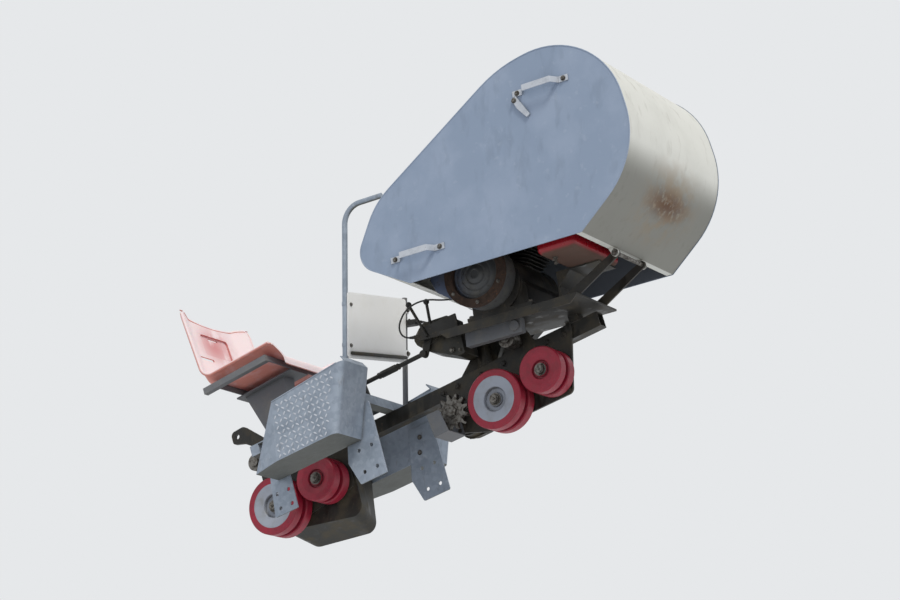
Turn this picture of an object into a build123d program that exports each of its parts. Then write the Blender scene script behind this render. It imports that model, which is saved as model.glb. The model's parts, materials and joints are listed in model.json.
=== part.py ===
from build123d import *

# Traction unit of a rack monorail for steep vineyards, with its driver's seat.
# It grips a square rail tube that has a toothed rack strip under it: rollers run on the tube's top, and twin
# wheels run under it, one each side of the rack. All of it hangs on the far side, so the near side is open to
# the posts that carry the rail. Millimetres. X runs along the rail and uphill, Y goes across it to the far
# side, Z is square to the rail. The origin is on the rail's centre line, at the middle of the machine.

import os
from math import cos, pi, radians, sin, tan

# The rail that the machine is made for
RAIL = 60.0  # side of the square tube
RACK_DROP = 25.0  # height of the rack strip under the tube
RACK_PITCH = 31.4

# Running clearances
RUN_GAP = 0.5  # rail to wheel tread
FIT_GAP = 0.05  # shaft to bore, on the radius
SEAT_GAP = 0.3  # pieces that lie against each other
SIDE_GAP = 9.0  # wheel to side plate

# Twin wheels under the rail
WHEEL_W = 45.0
WHEEL_IN = 12.0  # inner face to the rail's middle plane
BIG_R = 118.0
BIG_TREAD = 28.0
BIG_RECESS = (48.0, 22.0)  # radius and depth of the hub's recess round the axle's end
SMALL_R = 91.0
SMALL_TREAD = 22.0
SMALL_RECESS = (37.0, 14.0)
HUB_RIM = 6.0
HUB_BOSS_R = 27.0
BOSS_SET_BACK = 8.0  # recess floor to the hub's boss
AXLE_R = 15.0
NUT_R = 20.0
NUT_T = 11.0
WASHER_T = 3.0
WHEEL_PITCH = 222.0  # big wheel to the small wheel uphill of it
BIG_X = {"uphill": 100.0, "downhill": -975.0}

# Rollers on top of the rail
ROLLER_R = 35.0
ROLLER_W = 56.0
ROLLER_SHAFT_R = 12.0
ROLLER_X = {"uphill": 210.0, "downhill": -1020.0}

# Side plates and the beam that joins them
PLATE_T = 10.0
BOSS_WALL = 17.0
BOSS_L = 28.0
BEAM_W = 50.0
BEAM_Z = (-15.0, 45.0)
BEAM_X = (-1060.0, 560.0)
BEAM_WALL = 4.0
LEAN = 17.0  # slope on which the driver's place stands plumb

# Drive
PINION_X = -110.0
PINION_TEETH = 12
PINION_W = 20.0
TOOTH_H = 20.0
PINION_SHAFT_R = 15.0
CASE_W = 80.0
CASE_RIB = 8.0
CASE_CAP_R = 36.0
BRAKE_W = 148.0
BRAKE_COVER_R = 62.0
CAP_T = 8.0
CLUTCH_Y = (-60.0, 50.0)
CLUTCH_PIVOT = (-82.0, 205.0)
CLUTCH_BOSS_T = 6.0
GUARD_T = 3.0
GUARD_Y = -62.0
GUARD_GAP = 13.0  # pinion tip to the guard under it

# Engine bed, which lies at its own slope
BED_TILT = 10.2
BED_T = 8.0
BED_H = -141.0  # its top, measured from the hood's bottom edge
BED_A = (-30.0, 577.0)
BED_FLANGE = 28.0
BED_Y = (-150.0, 180.0)
BAR_H = 60.0
BAR_W = 30.0

# Engine, measured along and square to the hood's bottom edge like the bed
ENGINE_A = (100.0, 475.0)
ENGINE_Y = (-150.0, 170.0)
CRANK_AT = (230.0, -20.0)
CRANK_R = 118.0
FOOT_T = 16.0
SUMP_WALL = 14.0
BARREL_R = 58.0
BARREL_LEAN = 15.0  # the cylinder leans uphill from the crankcase
BARREL_Y = 20.0
FIN_PITCH = 13.0
FIN_T = 4.0
FIN_COUNT = 9
FIN_SIZE = (190.0, 200.0)
FIN_START = 96.0
HEAD_H = 34.0
SHAFT_END_R = 14.0
MUFFLER_R = 48.0
MUFFLER_LENGTH = 210.0
CLEANER_R = 60.0
CLEANER_H = 74.0
FAN_AT = (208.0, 10.0)
FAN_R = 125.0
FAN_W = 80.0
FAN_DOME = 20.0
RING_W = 32.0
RING_T = 22.0
BELT_Y = (206.0, 256.0)
BELT_PULLEY_R = 78.0
BELT_DRIVEN_R = 50.0
TANK_A = (515.0, 680.0)
TANK_H = (-20.0, 150.0)
TANK_Y = (-320.0, 60.0)
TANK_ROUND = 28.0
TANK_SEAM = (8.0, 4.0)  # how far the pressed halves' flange stands out, and its thickness
FILLER_R = 30.0
FILLER_H = 46.0

# Hood
HOOD_X = 58.0  # downhill end of its bottom edge
HOOD_Z = 299.0
HOOD_W = 760.0
HOOD_T = 2.5
LIP_W = 25.0
HINGE_A = 745.0
HINGE_DROP = 22.0
HINGE_R = 8.0
EAR_R = 15.0
EAR_Y = 110.0
EAR_T = 8.0

# Driver's place
TUBE = 40.0  # square cross tubes
TUBE_X = (-600.0, -420.0)
REAR_TUBE_X = -940.0
REAR_TUBE_Y = -140.0
DECK_T = 4.0
TRAY_IN = 236.0
TRAY_W = 184.0
TRAY_T = 3.0
TRAY_FLOOR = -135.0
TRAY_BEND = 26.0  # round corner between the outer side and the toe board
TOE_LIP = 30.0
SEAT_W = 476.0
SEAT_T = 6.0
SEAT_BACK = (-1064.0, -1096.0)  # X at the foot and at the top of the backrest
SEAT_FRONT = -692.0
SEAT_TOP = 728.0
SEAT_APRON = 42.0
WING_RISE = 34.0
WING_START = 150.0
WING_EDGE = 12.0
FRAME_INSET = 2.0  # the seat's edge stands out this far past its frame
FRAME_W = 26.0
FRAME_T = 4.0
GRAB_R = 11.0
GRAB_Y = 222.0
GRAB_H = 745.0
GRAB_BEND = 80.0
GRAB_RUN = 175.0
GRAB_DIP = 10.0
SHIELD_T = 3.0
SHIELD_LOW = 130.0
SHIELD_HIGH = 396.0
SHIELD_ASKEW = 60.0  # the far side hangs this much higher
SHIELD_ROD_R = 7.0
POST_H = 465.0
CLAMP_H = 346.0
CABLE_R = 3.5
GLAND_R = 8.0
LEVER_R = 6.0
HANGER_T = 6.0
HANGER_HOLE_R = 8.0
HITCH_PIN = (-1086.0, 211.0)
HITCH_PIN_R = 11.0

# Places that follow from the sizes above
RAIL_HALF = RAIL / 2
WHEEL_OUT = WHEEL_IN + WHEEL_W
PLATE_Y = WHEEL_OUT + SIDE_GAP
BEAM_Y = PLATE_Y + PLATE_T
CASE_Y = BEAM_Y + BEAM_W
BIG_Z = -RAIL_HALF - RUN_GAP - BIG_R
SMALL_Z = -RAIL_HALF - RUN_GAP - SMALL_R
ROLLER_Z = RAIL_HALF + RUN_GAP + ROLLER_R
PINION_R = PINION_TEETH * RACK_PITCH / (2 * pi)
PINION_Z = -RAIL_HALF - RACK_DROP / 2 - PINION_R
DECK_Z = BEAM_Z[1] + TUBE
DECK_TOP = DECK_Z + DECK_T
BED_UNDER = BED_H - BED_T
HOOD_HALF = HOOD_W / 2
FRAME_Y = SEAT_W / 2 - FRAME_INSET


# Helpers


def outline(points, radius=0.0):
    """A flat face in the XZ plane from its corners, with one radius for all corners or one for each."""
    return make_face(FilletPolyline(*points, radius=radius, close=True))


def slab(points, y0, y1, radius=0.0):
    """A plate whose outline lies in the XZ plane, from y0 to y1."""
    return extrude(Plane.XZ.offset(-y1) * outline(points, radius), amount=y1 - y0)


def slab_of(face, y0, y1):
    return extrude(Plane.XZ.offset(-y1) * face, amount=y1 - y0)


def box(x, y, z):
    """A block from three (low, high) pairs."""
    size = (x[1] - x[0], y[1] - y[0], z[1] - z[0])
    middle = ((x[0] + x[1]) / 2, (y[0] + y[1]) / 2, (z[0] + z[1]) / 2)
    return Pos(*middle) * Box(*size)


def rod_y(radius, x, z, y0, y1):
    """A round bar across the machine."""
    return Pos(x, (y0 + y1) / 2, z) * Rot(90, 0, 0) * Cylinder(radius, y1 - y0)


def turned(profile, x, z):
    """A solid of revolution about a line across the machine. The profile's corners are (radius, y)."""
    face = make_face(Polyline(*profile, close=True))
    return Pos(x, 0, z) * revolve(face, Axis.Y)


def mirrored(profile):
    return [(r, -y) for r, y in profile]


def bed_point(along, up):
    """A point of the XZ plane, measured along and square to the hood's bottom edge."""
    t = radians(BED_TILT)
    return (HOOD_X + along * cos(t) + up * sin(t), HOOD_Z - along * sin(t) + up * cos(t))


def bed_slab(points, y0, y1, radius=0.0):
    return slab([bed_point(a, h) for a, h in points], y0, y1, radius)


def plumb(x, z, height):
    """The point above (x, z) by a height, measured along the plumb line of the usual slope."""
    return (x + height * sin(radians(LEAN)), z + height * cos(radians(LEAN)))


def joined(solids):
    """One shape from solids that touch."""
    solids = list(solids)
    whole = solids[0]
    for solid in solids[1:]:
        whole = whole + solid
    return whole


def group(solids):
    """One shape from solids that stay apart."""
    return Compound(children=list(solids))


# Running gear


def tread_profile(radius, depth):
    """(radius, y) corners of a wheel's tyre on the far side of the rail, with chamfered edges."""
    c = 4.0
    return [
        (radius - depth, WHEEL_IN),
        (radius - c, WHEEL_IN),
        (radius, WHEEL_IN + c),
        (radius, WHEEL_OUT - c),
        (radius - c, WHEEL_OUT),
        (radius - depth, WHEEL_OUT),
    ]


def hub_profile(radius, recess):
    """(radius, y) corners of a wheel's hub: a rim, a cone that falls in to a recess, and a boss in it."""
    recess_r, depth = recess
    bore = AXLE_R + FIT_GAP
    rim = radius - HUB_RIM
    fall = 0.2 * (rim - recess_r)
    floor = WHEEL_OUT - depth
    return [
        (bore, WHEEL_IN),
        (radius, WHEEL_IN),
        (radius, WHEEL_OUT),
        (rim, WHEEL_OUT),
        (recess_r + 2.0, WHEEL_OUT - fall),
        (recess_r, WHEEL_OUT - fall - 2.0),
        (recess_r - 3.0, floor),
        (HUB_BOSS_R + 2.0, floor),
        (HUB_BOSS_R, floor + BOSS_SET_BACK),
        (bore, floor + BOSS_SET_BACK),
    ]


def hexagon_y(radius, x, z, y0, y1):
    """A hexagonal bar across the machine."""
    return slab_of(Pos(x, z) * RegularPolygon(radius, 6), y0, y1)


def axle(x, z, recess_depth):
    """A shaft in the side plate's boss, with a washer and nut in the near hub and a collar on its far end."""
    far = BEAM_Y + BOSS_L
    seat = -(WHEEL_OUT - recess_depth + BOSS_SET_BACK + 2 * SEAT_GAP)
    nut = seat - WASHER_T
    shaft = rod_y(AXLE_R, x, z, nut - NUT_T - 4.0, far + 8.0)
    spacer = rod_y(AXLE_R + 6.0, x, z, -WHEEL_IN, WHEEL_IN)
    washer = rod_y(HUB_BOSS_R - 2.0, x, z, nut, seat)
    hexagon = hexagon_y(NUT_R, x, z, nut - NUT_T, nut)
    inner = rod_y(AXLE_R + 6.0, x, z, -seat, PLATE_Y - 1.0)
    collar = rod_y(AXLE_R + 11.0, x, z, far + 1.0, far + 8.0)
    return joined([shaft, spacer, washer, hexagon, inner, collar])


def twin_wheels(x, z, radius, depth, recess):
    """The treads and the hubs of the two wheels on one axle."""
    tread = tread_profile(radius, depth)
    hub = hub_profile(radius - depth, recess)
    treads = [turned(p, x, z) for p in (tread, mirrored(tread))]
    hubs = [turned(p, x, z) for p in (hub, mirrored(hub))]
    return treads, hubs


def roller(x):
    """A grooved roller on top of the rail, with its shaft in the side plate."""
    half = ROLLER_W / 2
    far = BEAM_Y + 4.0
    body = rod_y(ROLLER_R, x, ROLLER_Z, -half, half)
    flange = rod_y(ROLLER_SHAFT_R + 8.0, x, ROLLER_Z, half, PLATE_Y - 1.0)
    shaft = rod_y(ROLLER_SHAFT_R, x, ROLLER_Z, -half - 12.0, far)
    nut = rod_y(ROLLER_SHAFT_R + 6.0, x, ROLLER_Z, -half - 12.0, -half)
    return joined([body, flange, shaft, nut])


def side_plate(corners, radii, bores):
    """A plate beside the rail. bores are (x, z, shaft radius, boss length) rows."""
    plate = slab(corners, PLATE_Y, BEAM_Y, radii)
    for x, z, shaft, boss in bores:
        if boss:
            plate = plate + rod_y(shaft + BOSS_WALL, x, z, BEAM_Y, BEAM_Y + boss)
    for x, z, shaft, boss in bores:
        plate = plate - rod_y(shaft + FIT_GAP, x, z, PLATE_Y - 1.0, BEAM_Y + boss + 1.0)
    return plate


def pinion():
    """The toothed wheel that climbs the rack, on its shaft from the gear case."""
    root = PINION_R - TOOTH_H / 2
    half = PINION_W / 2
    body = rod_y(root, PINION_X, PINION_Z, -half, half)
    foot, tip = RACK_PITCH * 0.3, RACK_PITCH * 0.14
    for k in range(PINION_TEETH):
        tooth = slab([(-foot, root - 3.0), (foot, root - 3.0), (tip, root + TOOTH_H), (-tip, root + TOOTH_H)],
                     -half, half)
        body = body + Pos(PINION_X, 0, PINION_Z) * Rot(0, k * 360.0 / PINION_TEETH, 0) * tooth
    shaft = rod_y(PINION_SHAFT_R, PINION_X, PINION_Z, -half - 10.0, CASE_Y + 20.0)
    return body + shaft


# Main frame

UP = BIG_X["uphill"]
DOWN = BIG_X["downhill"]
parts = {}

plate_rows = {
    # end: corners, corner radii, (x, z, shaft radius, boss length)
    "uphill": (
        [(-190, 40), (140, 45), (165, 108), (255, 108), (280, 45), (452, 45), (372, -218), (-10, -218),
         (-190, -150)],
        [20, 20, 20, 20, 20, 12, 25, 40, 20],
        [
            (UP, BIG_Z, AXLE_R, BOSS_L),
            (UP + WHEEL_PITCH, SMALL_Z, AXLE_R, BOSS_L),
            (ROLLER_X["uphill"], ROLLER_Z, ROLLER_SHAFT_R, 0.0),
            (PINION_X, PINION_Z, PINION_SHAFT_R, 0.0),
        ],
    ),
    "downhill": (
        [(-1065, 108), (-988, 108), (-975, 45), (-645, 45), (-660, -175), (-1010, -218), (-1065, -150)],
        [20, 20, 8, 12, 25, 40, 20],
        [
            (DOWN, BIG_Z, AXLE_R, BOSS_L),
            (DOWN + WHEEL_PITCH, SMALL_Z, AXLE_R, BOSS_L),
            (ROLLER_X["downhill"], ROLLER_Z, ROLLER_SHAFT_R, 0.0),
        ],
    ),
}
for end, (corners, radii, bores) in plate_rows.items():
    parts[f"side_plate_{end}"] = side_plate(corners, radii, bores)
    parts[f"top_roller_{end}"] = roller(ROLLER_X[end])

beam = box(BEAM_X, (BEAM_Y, BEAM_Y + BEAM_W), BEAM_Z)
hollow = box(
    (BEAM_X[0] - 1.0, BEAM_X[1] + 1.0),
    (BEAM_Y + BEAM_WALL, BEAM_Y + BEAM_W - BEAM_WALL),
    (BEAM_Z[0] + BEAM_WALL, BEAM_Z[1] - BEAM_WALL),
)
parts["main_beam"] = beam - hollow

for end, x in BIG_X.items():
    rows = [
        # size, x, z, wheel radius, tyre depth, recess
        ("big", x, BIG_Z, BIG_R, BIG_TREAD, BIG_RECESS),
        ("small", x + WHEEL_PITCH, SMALL_Z, SMALL_R, SMALL_TREAD, SMALL_RECESS),
    ]
    for size, wheel_x, wheel_z, radius, depth, recess in rows:
        parts[f"{size}_axle_{end}"] = axle(wheel_x, wheel_z, recess[1])
        treads, hubs = twin_wheels(wheel_x, wheel_z, radius, depth, recess)
        if size == "big":
            parts[f"big_treads_{end}"] = group(treads)
            parts[f"big_hubs_{end}"] = group(hubs)
        else:
            parts[f"small_wheels_{end}"] = group([tread + hub for tread, hub in zip(treads, hubs)])

parts["drive_pinion"] = pinion()

# A guard that hooks round the drive pinion from below

guard_z = PINION_Z - PINION_R - TOOTH_H / 2 - GUARD_GAP
guard_x = (-188.0, -120.0)
guard_low = guard_z - GUARD_T
guard_strap = box(guard_x, (GUARD_Y, PLATE_Y - SEAT_GAP), (guard_low, guard_z))
near_cheek = slab([(-197, -89), (-137, -92), (guard_x[1], guard_low), (guard_x[0], guard_low)],
                  GUARD_Y, GUARD_Y + GUARD_T, [6, 6, 0, 0])
far_cheek = box(guard_x, (PLATE_Y - SEAT_GAP - GUARD_T, PLATE_Y - SEAT_GAP), (guard_low, -125.0))
parts["pinion_guard"] = guard_strap + near_cheek + far_cheek

# Drive housings on the far side

case_rows = [
    # corner, radius
    ((-185, -170), 50),
    ((-45, -170), 50),
    ((40, 20), 60),
    (bed_point(100, BED_UNDER), 0),
    (bed_point(-20, BED_UNDER), 0),
    ((-150, 20), 60),
]
case_far = CASE_Y + CASE_W
case_face = outline([c for c, r in case_rows], [r for c, r in case_rows])
split_line = CASE_Y + CASE_W / 2
flange = slab_of(offset(case_face, CASE_RIB), split_line - CASE_RIB / 2, split_line + CASE_RIB / 2)
over_bed = bed_slab([(-200, BED_UNDER), (300, BED_UNDER), (300, 0), (-200, 0)], CASE_Y, case_far)
case = slab_of(case_face, CASE_Y, case_far) + (flange - over_bed)
case = case + rod_y(CASE_CAP_R, PINION_X, PINION_Z, case_far, case_far + CAP_T)
case = case + rod_y(CASE_CAP_R - 12.0, PINION_X, PINION_Z, case_far, case_far + 2 * CAP_T)
parts["gear_case"] = case - rod_y(PINION_SHAFT_R + FIT_GAP, PINION_X, PINION_Z, CASE_Y - 1.0, CASE_Y + 21.0)

brake_top = BEAM_Z[0]
brake_far = BEAM_Y + BRAKE_W
near_face = Plane.XZ.offset(-BEAM_Y) * outline(
    [(-1058, brake_top), (-645, brake_top), (-655, -300), (-1058, -215)], [20, 20, 45, 60]
)
far_face = Plane.XZ.offset(-brake_far) * outline(
    [(-1058, brake_top), (-645, brake_top), (-700, -335), (-1010, -285)], [20, 20, 45, 60]
)
housing = loft([near_face, far_face], ruled=True)
bore_r = AXLE_R + BOSS_WALL + 6.0
for wheel_x, wheel_z in ((DOWN, BIG_Z), (DOWN + WHEEL_PITCH, SMALL_Z)):
    housing = housing - rod_y(bore_r, wheel_x, wheel_z, BEAM_Y - 1.0, BEAM_Y + BOSS_L + 14.0)
cover_x, cover_z = (-945.0, -150.0)
housing = housing + rod_y(BRAKE_COVER_R, cover_x, cover_z, brake_far, brake_far + CAP_T)
housing = housing + rod_y(BRAKE_COVER_R / 2, cover_x, cover_z, brake_far, brake_far + 2 * CAP_T)
for rib_x, rib_z in ((-1024.0, -180.0), (-725.0, -270.0)):
    housing = housing + box((rib_x - 4, rib_x + 4), (brake_far, brake_far + CAP_T), (rib_z, brake_top - 24.0))
parts["brake_housing"] = housing

# The clutch housing under the bed's downhill end, with the lever that the pull rod works

bed_end = BED_A[0] - SEAT_GAP
clutch_rows = [
    # corner, radius
    ((-150, 192), 14),
    ((-112, 150), 30),
    ((8, 76), 20),
    ((40, 76), 6),
    (bed_point(14, BED_UNDER), 0),
    (bed_point(bed_end, BED_UNDER), 0),
    (bed_point(bed_end, -55), 12),
    ((-105, 268), 22),
    ((-160, 222), 22),
]
clutch = slab([c for c, r in clutch_rows], *CLUTCH_Y, [r for c, r in clutch_rows])
clutch = clutch + rod_y(34.0, *CLUTCH_PIVOT, CLUTCH_Y[0] - CLUTCH_BOSS_T, CLUTCH_Y[0])
for x, z in ((-8, 108), (-118, 172)):
    clutch = clutch + rod_y(12.0, x, z, CLUTCH_Y[0] - 5.0, CLUTCH_Y[0])
clutch = clutch + rod_y(46.0, -60, 190, CLUTCH_Y[1], CLUTCH_Y[1] + 10.0)
parts["clutch_housing"] = clutch

# Cross tubes, deck and hitch

tubes = []
for x in TUBE_X:
    tubes.append(box((x - TUBE / 2, x + TUBE / 2), (-TRAY_IN, TRAY_IN), (BEAM_Z[1], DECK_Z)))
tubes.append(
    box((REAR_TUBE_X - TUBE / 2, REAR_TUBE_X + TUBE / 2), (REAR_TUBE_Y, BEAM_Y + BEAM_W), (BEAM_Z[1], DECK_Z))
)
parts["cross_tubes"] = group(tubes)
parts["deck_plate"] = box(
    (REAR_TUBE_X - TUBE / 2, TUBE_X[1] - TUBE / 2), (REAR_TUBE_Y, BEAM_Y + BEAM_W), (DECK_Z, DECK_Z + DECK_T)
)

HITCH_T = 16.0
rear_face = REAR_TUBE_X - TUBE / 2
hitch_rows = [
    # corner, radius
    ((-1112, 186), 15),
    ((-1062, 170), 20),
    ((-986, 112), 20),
    ((rear_face - 14, 50), 6),
    ((rear_face, 50), 0),
    ((rear_face, DECK_TOP), 0),
    ((rear_face + 22, DECK_TOP), 0),
    ((rear_face + 22, 125), 10),
    ((-1045, 240), 25),
    ((-1112, 236), 20),
]
hitch = slab([c for c, r in hitch_rows], -HITCH_T / 2, HITCH_T / 2, [r for c, r in hitch_rows])
parts["hitch"] = hitch - rod_y(HITCH_PIN_R, *HITCH_PIN, -HITCH_T, HITCH_T)

# Foot trays, one each side


def foot_tray(side):
    """A folded sheet trough for one foot. side is -1 for the near tray and 1 for the far one."""
    inner, outer = TRAY_IN, TRAY_IN + TRAY_W
    heel, toe, shin, back = (-811, TRAY_FLOOR), (-405, TRAY_FLOOR), (-295, 125), (-645, 98)
    run, rise = shin[0] - toe[0], shin[1] - toe[1]
    along = (run / (run**2 + rise**2) ** 0.5, rise / (run**2 + rise**2) ** 0.5)
    across = TRAY_T / along[1]
    rear = Plane(origin=(-690, outer, TRAY_FLOOR), z_dir=Vector(-0.2404, 0.9696, 0.0464))

    def trough(corners, y0, y1, bend, inset):
        """A block whose outer side meets its toe board in a round edge, cut off along the heel's fold."""
        block = slab(corners, y0, y1)
        (toe_x, toe_z), (shin_x, shin_z) = corners[1:3]
        edge = block.edges().sort_by_distance(((toe_x + shin_x) / 2, y1, (toe_z + shin_z) / 2))[0]
        return split(fillet(edge, bend), rear.offset(-inset), keep=Keep.BOTTOM)

    t = TRAY_T
    skin = trough([heel, toe, shin, back], inner, outer, TRAY_BEND, 0.0)
    up = 60.0 / rise
    room_corners = [
        (heel[0] - 1, heel[1] + t),
        (toe[0] - across + t * run / rise, toe[1] + t),
        (shin[0] - across + run * up, shin[1] + 60.0),
        (back[0] - 90.0, shin[1] + 60.0),
    ]
    room = trough(room_corners, inner + t, outer - t, TRAY_BEND - t, t)
    tray = skin - room
    lip_x, lip_z = TOE_LIP * sin(radians(30)), TOE_LIP * cos(radians(30))
    fold = 2.0
    fold_x, fold_z = shin[0] - fold * run / rise, shin[1] - fold
    lip_corners = [
        (fold_x, fold_z),
        shin,
        (shin[0] - lip_x, shin[1] + lip_z),
        (shin[0] - across - lip_x, shin[1] + lip_z - 1.5),
        (fold_x - across, fold_z),
    ]
    tray = tray + slab(lip_corners, inner, outer - TRAY_BEND)
    return tray if side > 0 else mirror(tray, Plane.XZ)


parts["foot_tray_near"] = foot_tray(-1)
parts["foot_tray_far"] = foot_tray(1)

# Perforated plates that hang from the trays' inner sides

hanger_rows = [
    # corners, middle of the four holes (x, z), hole spacing (along x, along z)
    ([(-845, -100), (-755, -100), (-757, -272), (-868, -272)], (-806, -215), (55, 60)),
    ([(-440, 0), (-330, 0), (-335, -300), (-460, -300), (-490, -200)], (-400, -215), (60, 90)),
]
hangers = []
for corners, middle, spacing in hanger_rows:
    plate = slab(corners, TRAY_IN - HANGER_T, TRAY_IN, 6.0)
    for i in (-0.5, 0.5):
        for k in (-0.5, 0.5):
            x, z = middle[0] + i * spacing[0], middle[1] + k * spacing[1]
            plate = plate - rod_y(HANGER_HOLE_R, x, z, TRAY_IN - HANGER_T - 1.0, TRAY_IN + 1.0)
    hangers += [plate, mirror(plate, Plane.XZ)]
parts["hanger_plates"] = group(hangers)

# Seat


def seat_z(x):
    """Height of the seat pan's underside, which rises a little uphill."""
    return 368.0 + (x - SEAT_BACK[0]) * 12.0 / 365.0


def seat_section():
    """The seat's cross-section: a flat middle between two raised sides, each with a flat edge."""
    half = SEAT_W / 2
    top = WING_RISE + SEAT_T
    under = [(WING_START, 0), (half - WING_EDGE, WING_RISE), (half, WING_RISE)]
    over = [(half, top), (half - WING_EDGE - 2.0, top), (WING_START - 2.0, SEAT_T)]
    right = under + over
    left = [(-x, y) for x, y in reversed(right)]
    radii = [60, 14, 0, 0, 14, 60]
    return make_face(FilletPolyline(*right, *left, radius=radii + radii[::-1], close=True))


def seat_shell():
    """A moulded shell: one cross-section swept up the front apron, back along the pan and up the backrest."""
    front, foot_x, top_x = SEAT_FRONT, *SEAT_BACK
    front_z = seat_z(front)
    line = [(front, front_z - SEAT_APRON), (front, front_z), (foot_x, seat_z(foot_x)), (top_x, SEAT_TOP)]
    path = FilletPolyline(*[(x, 0, z) for x, z in line], radius=[24, 86])
    start = Plane(origin=path @ 0, x_dir=(0, -1, 0), z_dir=path % 0)
    shell = sweep(start * seat_section(), path=path)
    half = SEAT_W / 2
    tip = front + SEAT_T + 2.0
    inside = [(tip, 300), (tip, 425), (-790, 480), (-900, 760), (-1200, 760), (-1200, 300)]
    shell = shell & slab(inside, -half, half, [1, 30, 60, 1, 1, 1])
    # The top edge dips in the middle, and its corners are round
    dip = 18.0
    chord = half - 60.0
    dip_r = (chord**2 + dip**2) / (2 * dip)
    shell = shell - Pos(top_x, 0, SEAT_TOP - dip + dip_r) * Rot(0, 90, 0) * Cylinder(dip_r, 120.0)
    round_r = 30.0
    for side in (-1, 1):
        y = side * (half - round_r)
        corner = box((-1140, -1000), sorted((y, side * (half + 1))), (SEAT_TOP - round_r, SEAT_TOP + 1))
        rounded = Pos(-1070, y, SEAT_TOP - round_r) * Rot(0, 90, 0) * Cylinder(round_r, 200.0)
        shell = shell - (corner - rounded)
    # The backrest has a pressed panel with a drain slot at its foot, and a slot above it on each side
    lean_back = Vector(top_x - foot_x, 0, SEAT_TOP - seat_z(foot_x)).normalized()
    forward = Vector(lean_back.Z, 0, -lean_back.X)
    back = Plane(origin=Vector(top_x, 0, SEAT_TOP) - lean_back * 115.0, x_dir=(0, -1, 0), z_dir=forward)
    press = 8.0
    pad = extrude(back.offset(-press) * RectangleRounded(202, 112, 20), amount=press + 1.0)
    pocket = extrude(back.offset(SEAT_T - press) * RectangleRounded(190, 100, 14), amount=press + 10.0)
    shell = shell + pad - pocket
    slot_rows = [
        # across, up, length, height
        (-102, 75, 98, 13),
        (102, 75, 98, 13),
        (0, -40, 70, 9),
    ]
    for across, rise, length, height in slot_rows:
        slot = back.offset(-30) * Pos(across, rise) * SlotOverall(length, height)
        shell = shell - extrude(slot, amount=90)
    return shell


parts["seat_shell"] = seat_shell()


def under_seat(x0, x1, drop, depth):
    """Corners of a bar that runs under the seat from x0 to x1, its top a given drop below the seat."""
    return [(x0, seat_z(x0) - drop - depth), (x1, seat_z(x1) - drop - depth),
            (x1, seat_z(x1) - drop), (x0, seat_z(x0) - drop)]


FRAME_X = (-1046.0, -728.0)
frame_bars = []
toe_drop = SEAT_GAP + FRAME_W - FRAME_T
for side in (-1, 1):
    outer, web, toe = side * FRAME_Y, side * (FRAME_Y - FRAME_T), side * (FRAME_Y - FRAME_W)
    frame_bars.append(slab(under_seat(*FRAME_X, SEAT_GAP, FRAME_W), *sorted((outer, web))))
    frame_bars.append(slab(under_seat(*FRAME_X, toe_drop, FRAME_T), *sorted((outer, toe))))
for x in (FRAME_X[0] + 40.0, FRAME_X[1] - FRAME_W):
    reach = FRAME_Y - FRAME_T
    frame_bars.append(slab(under_seat(x, x + FRAME_W, SEAT_GAP, FRAME_T), -reach, reach))
    frame_bars.append(slab(under_seat(x + FRAME_W - FRAME_T, x + FRAME_W, SEAT_GAP, FRAME_W), -reach, reach))
parts["seat_frame"] = joined(frame_bars)

head_drop = SEAT_GAP + FRAME_W
HEAD_T = 6.0
HEAD_X = (-1010.0, -728.0)
PEDESTAL_FOOT = (-930.0, -800.0)
PEDESTAL_WALL = 5.0
foot = box(PEDESTAL_FOOT, (-70, 70), (DECK_TOP, DECK_TOP + HEAD_T))
head = slab(under_seat(*HEAD_X, head_drop, HEAD_T), -60.0, 60.0)
column_rows = [
    # x at the foot, x at the head
    (-905.0, -985.0),
    (-835.0, -780.0),
]
(low_a, high_a), (low_b, high_b) = column_rows
column_half = 35.0
column_corners = [
    (low_a, DECK_TOP),
    (low_b, DECK_TOP),
    (high_b, seat_z(high_b) - head_drop),
    (high_a, seat_z(high_a) - head_drop),
]
column = slab(column_corners, -column_half, column_half)
wall = PEDESTAL_WALL
room_corners = [
    (low_a + 2 * wall, DECK_Z),
    (low_b - 2 * wall, DECK_Z),
    (high_b - 2 * wall, seat_z(high_b)),
    (high_a + 2 * wall, seat_z(high_a)),
]
room = slab(room_corners, wall - column_half, column_half - wall)
parts["seat_pedestal"] = joined([foot, column - room, head])

# Leg shield with its two uprights

GRAB_X = TUBE_X[1] - 5.0
corner = plumb(GRAB_X, DECK_Z, GRAB_H)
grab_end = (corner[0] + GRAB_RUN * cos(radians(GRAB_DIP)), corner[1] - GRAB_RUN * sin(radians(GRAB_DIP)))


def bar_path(points, y, radius):
    return FilletPolyline(*[(x, y, z) for x, z in points], radius=radius)


def round_bar(points, y, bar_r, bend):
    """A round bar along a bent line in a plane beside the rail."""
    path = bar_path(points, y, bend) if len(points) > 2 else Line(*[(x, y, z) for x, z in points])
    start = Plane(origin=path @ 0, z_dir=path % 0)
    return sweep(start * Circle(bar_r), path=path)


below_deck = plumb(GRAB_X, DECK_Z, -2 * GRAB_R)
deck_plane = Plane((0, 0, DECK_Z))
grab = round_bar([below_deck, corner, grab_end], -GRAB_Y, GRAB_R, GRAB_BEND)
parts["grab_tube"] = split(grab, deck_plane, keep=Keep.TOP)
post = round_bar([below_deck, plumb(GRAB_X, DECK_Z, POST_H)], GRAB_Y, GRAB_R, 0)
parts["shield_post"] = split(post, deck_plane, keep=Keep.TOP)

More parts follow.
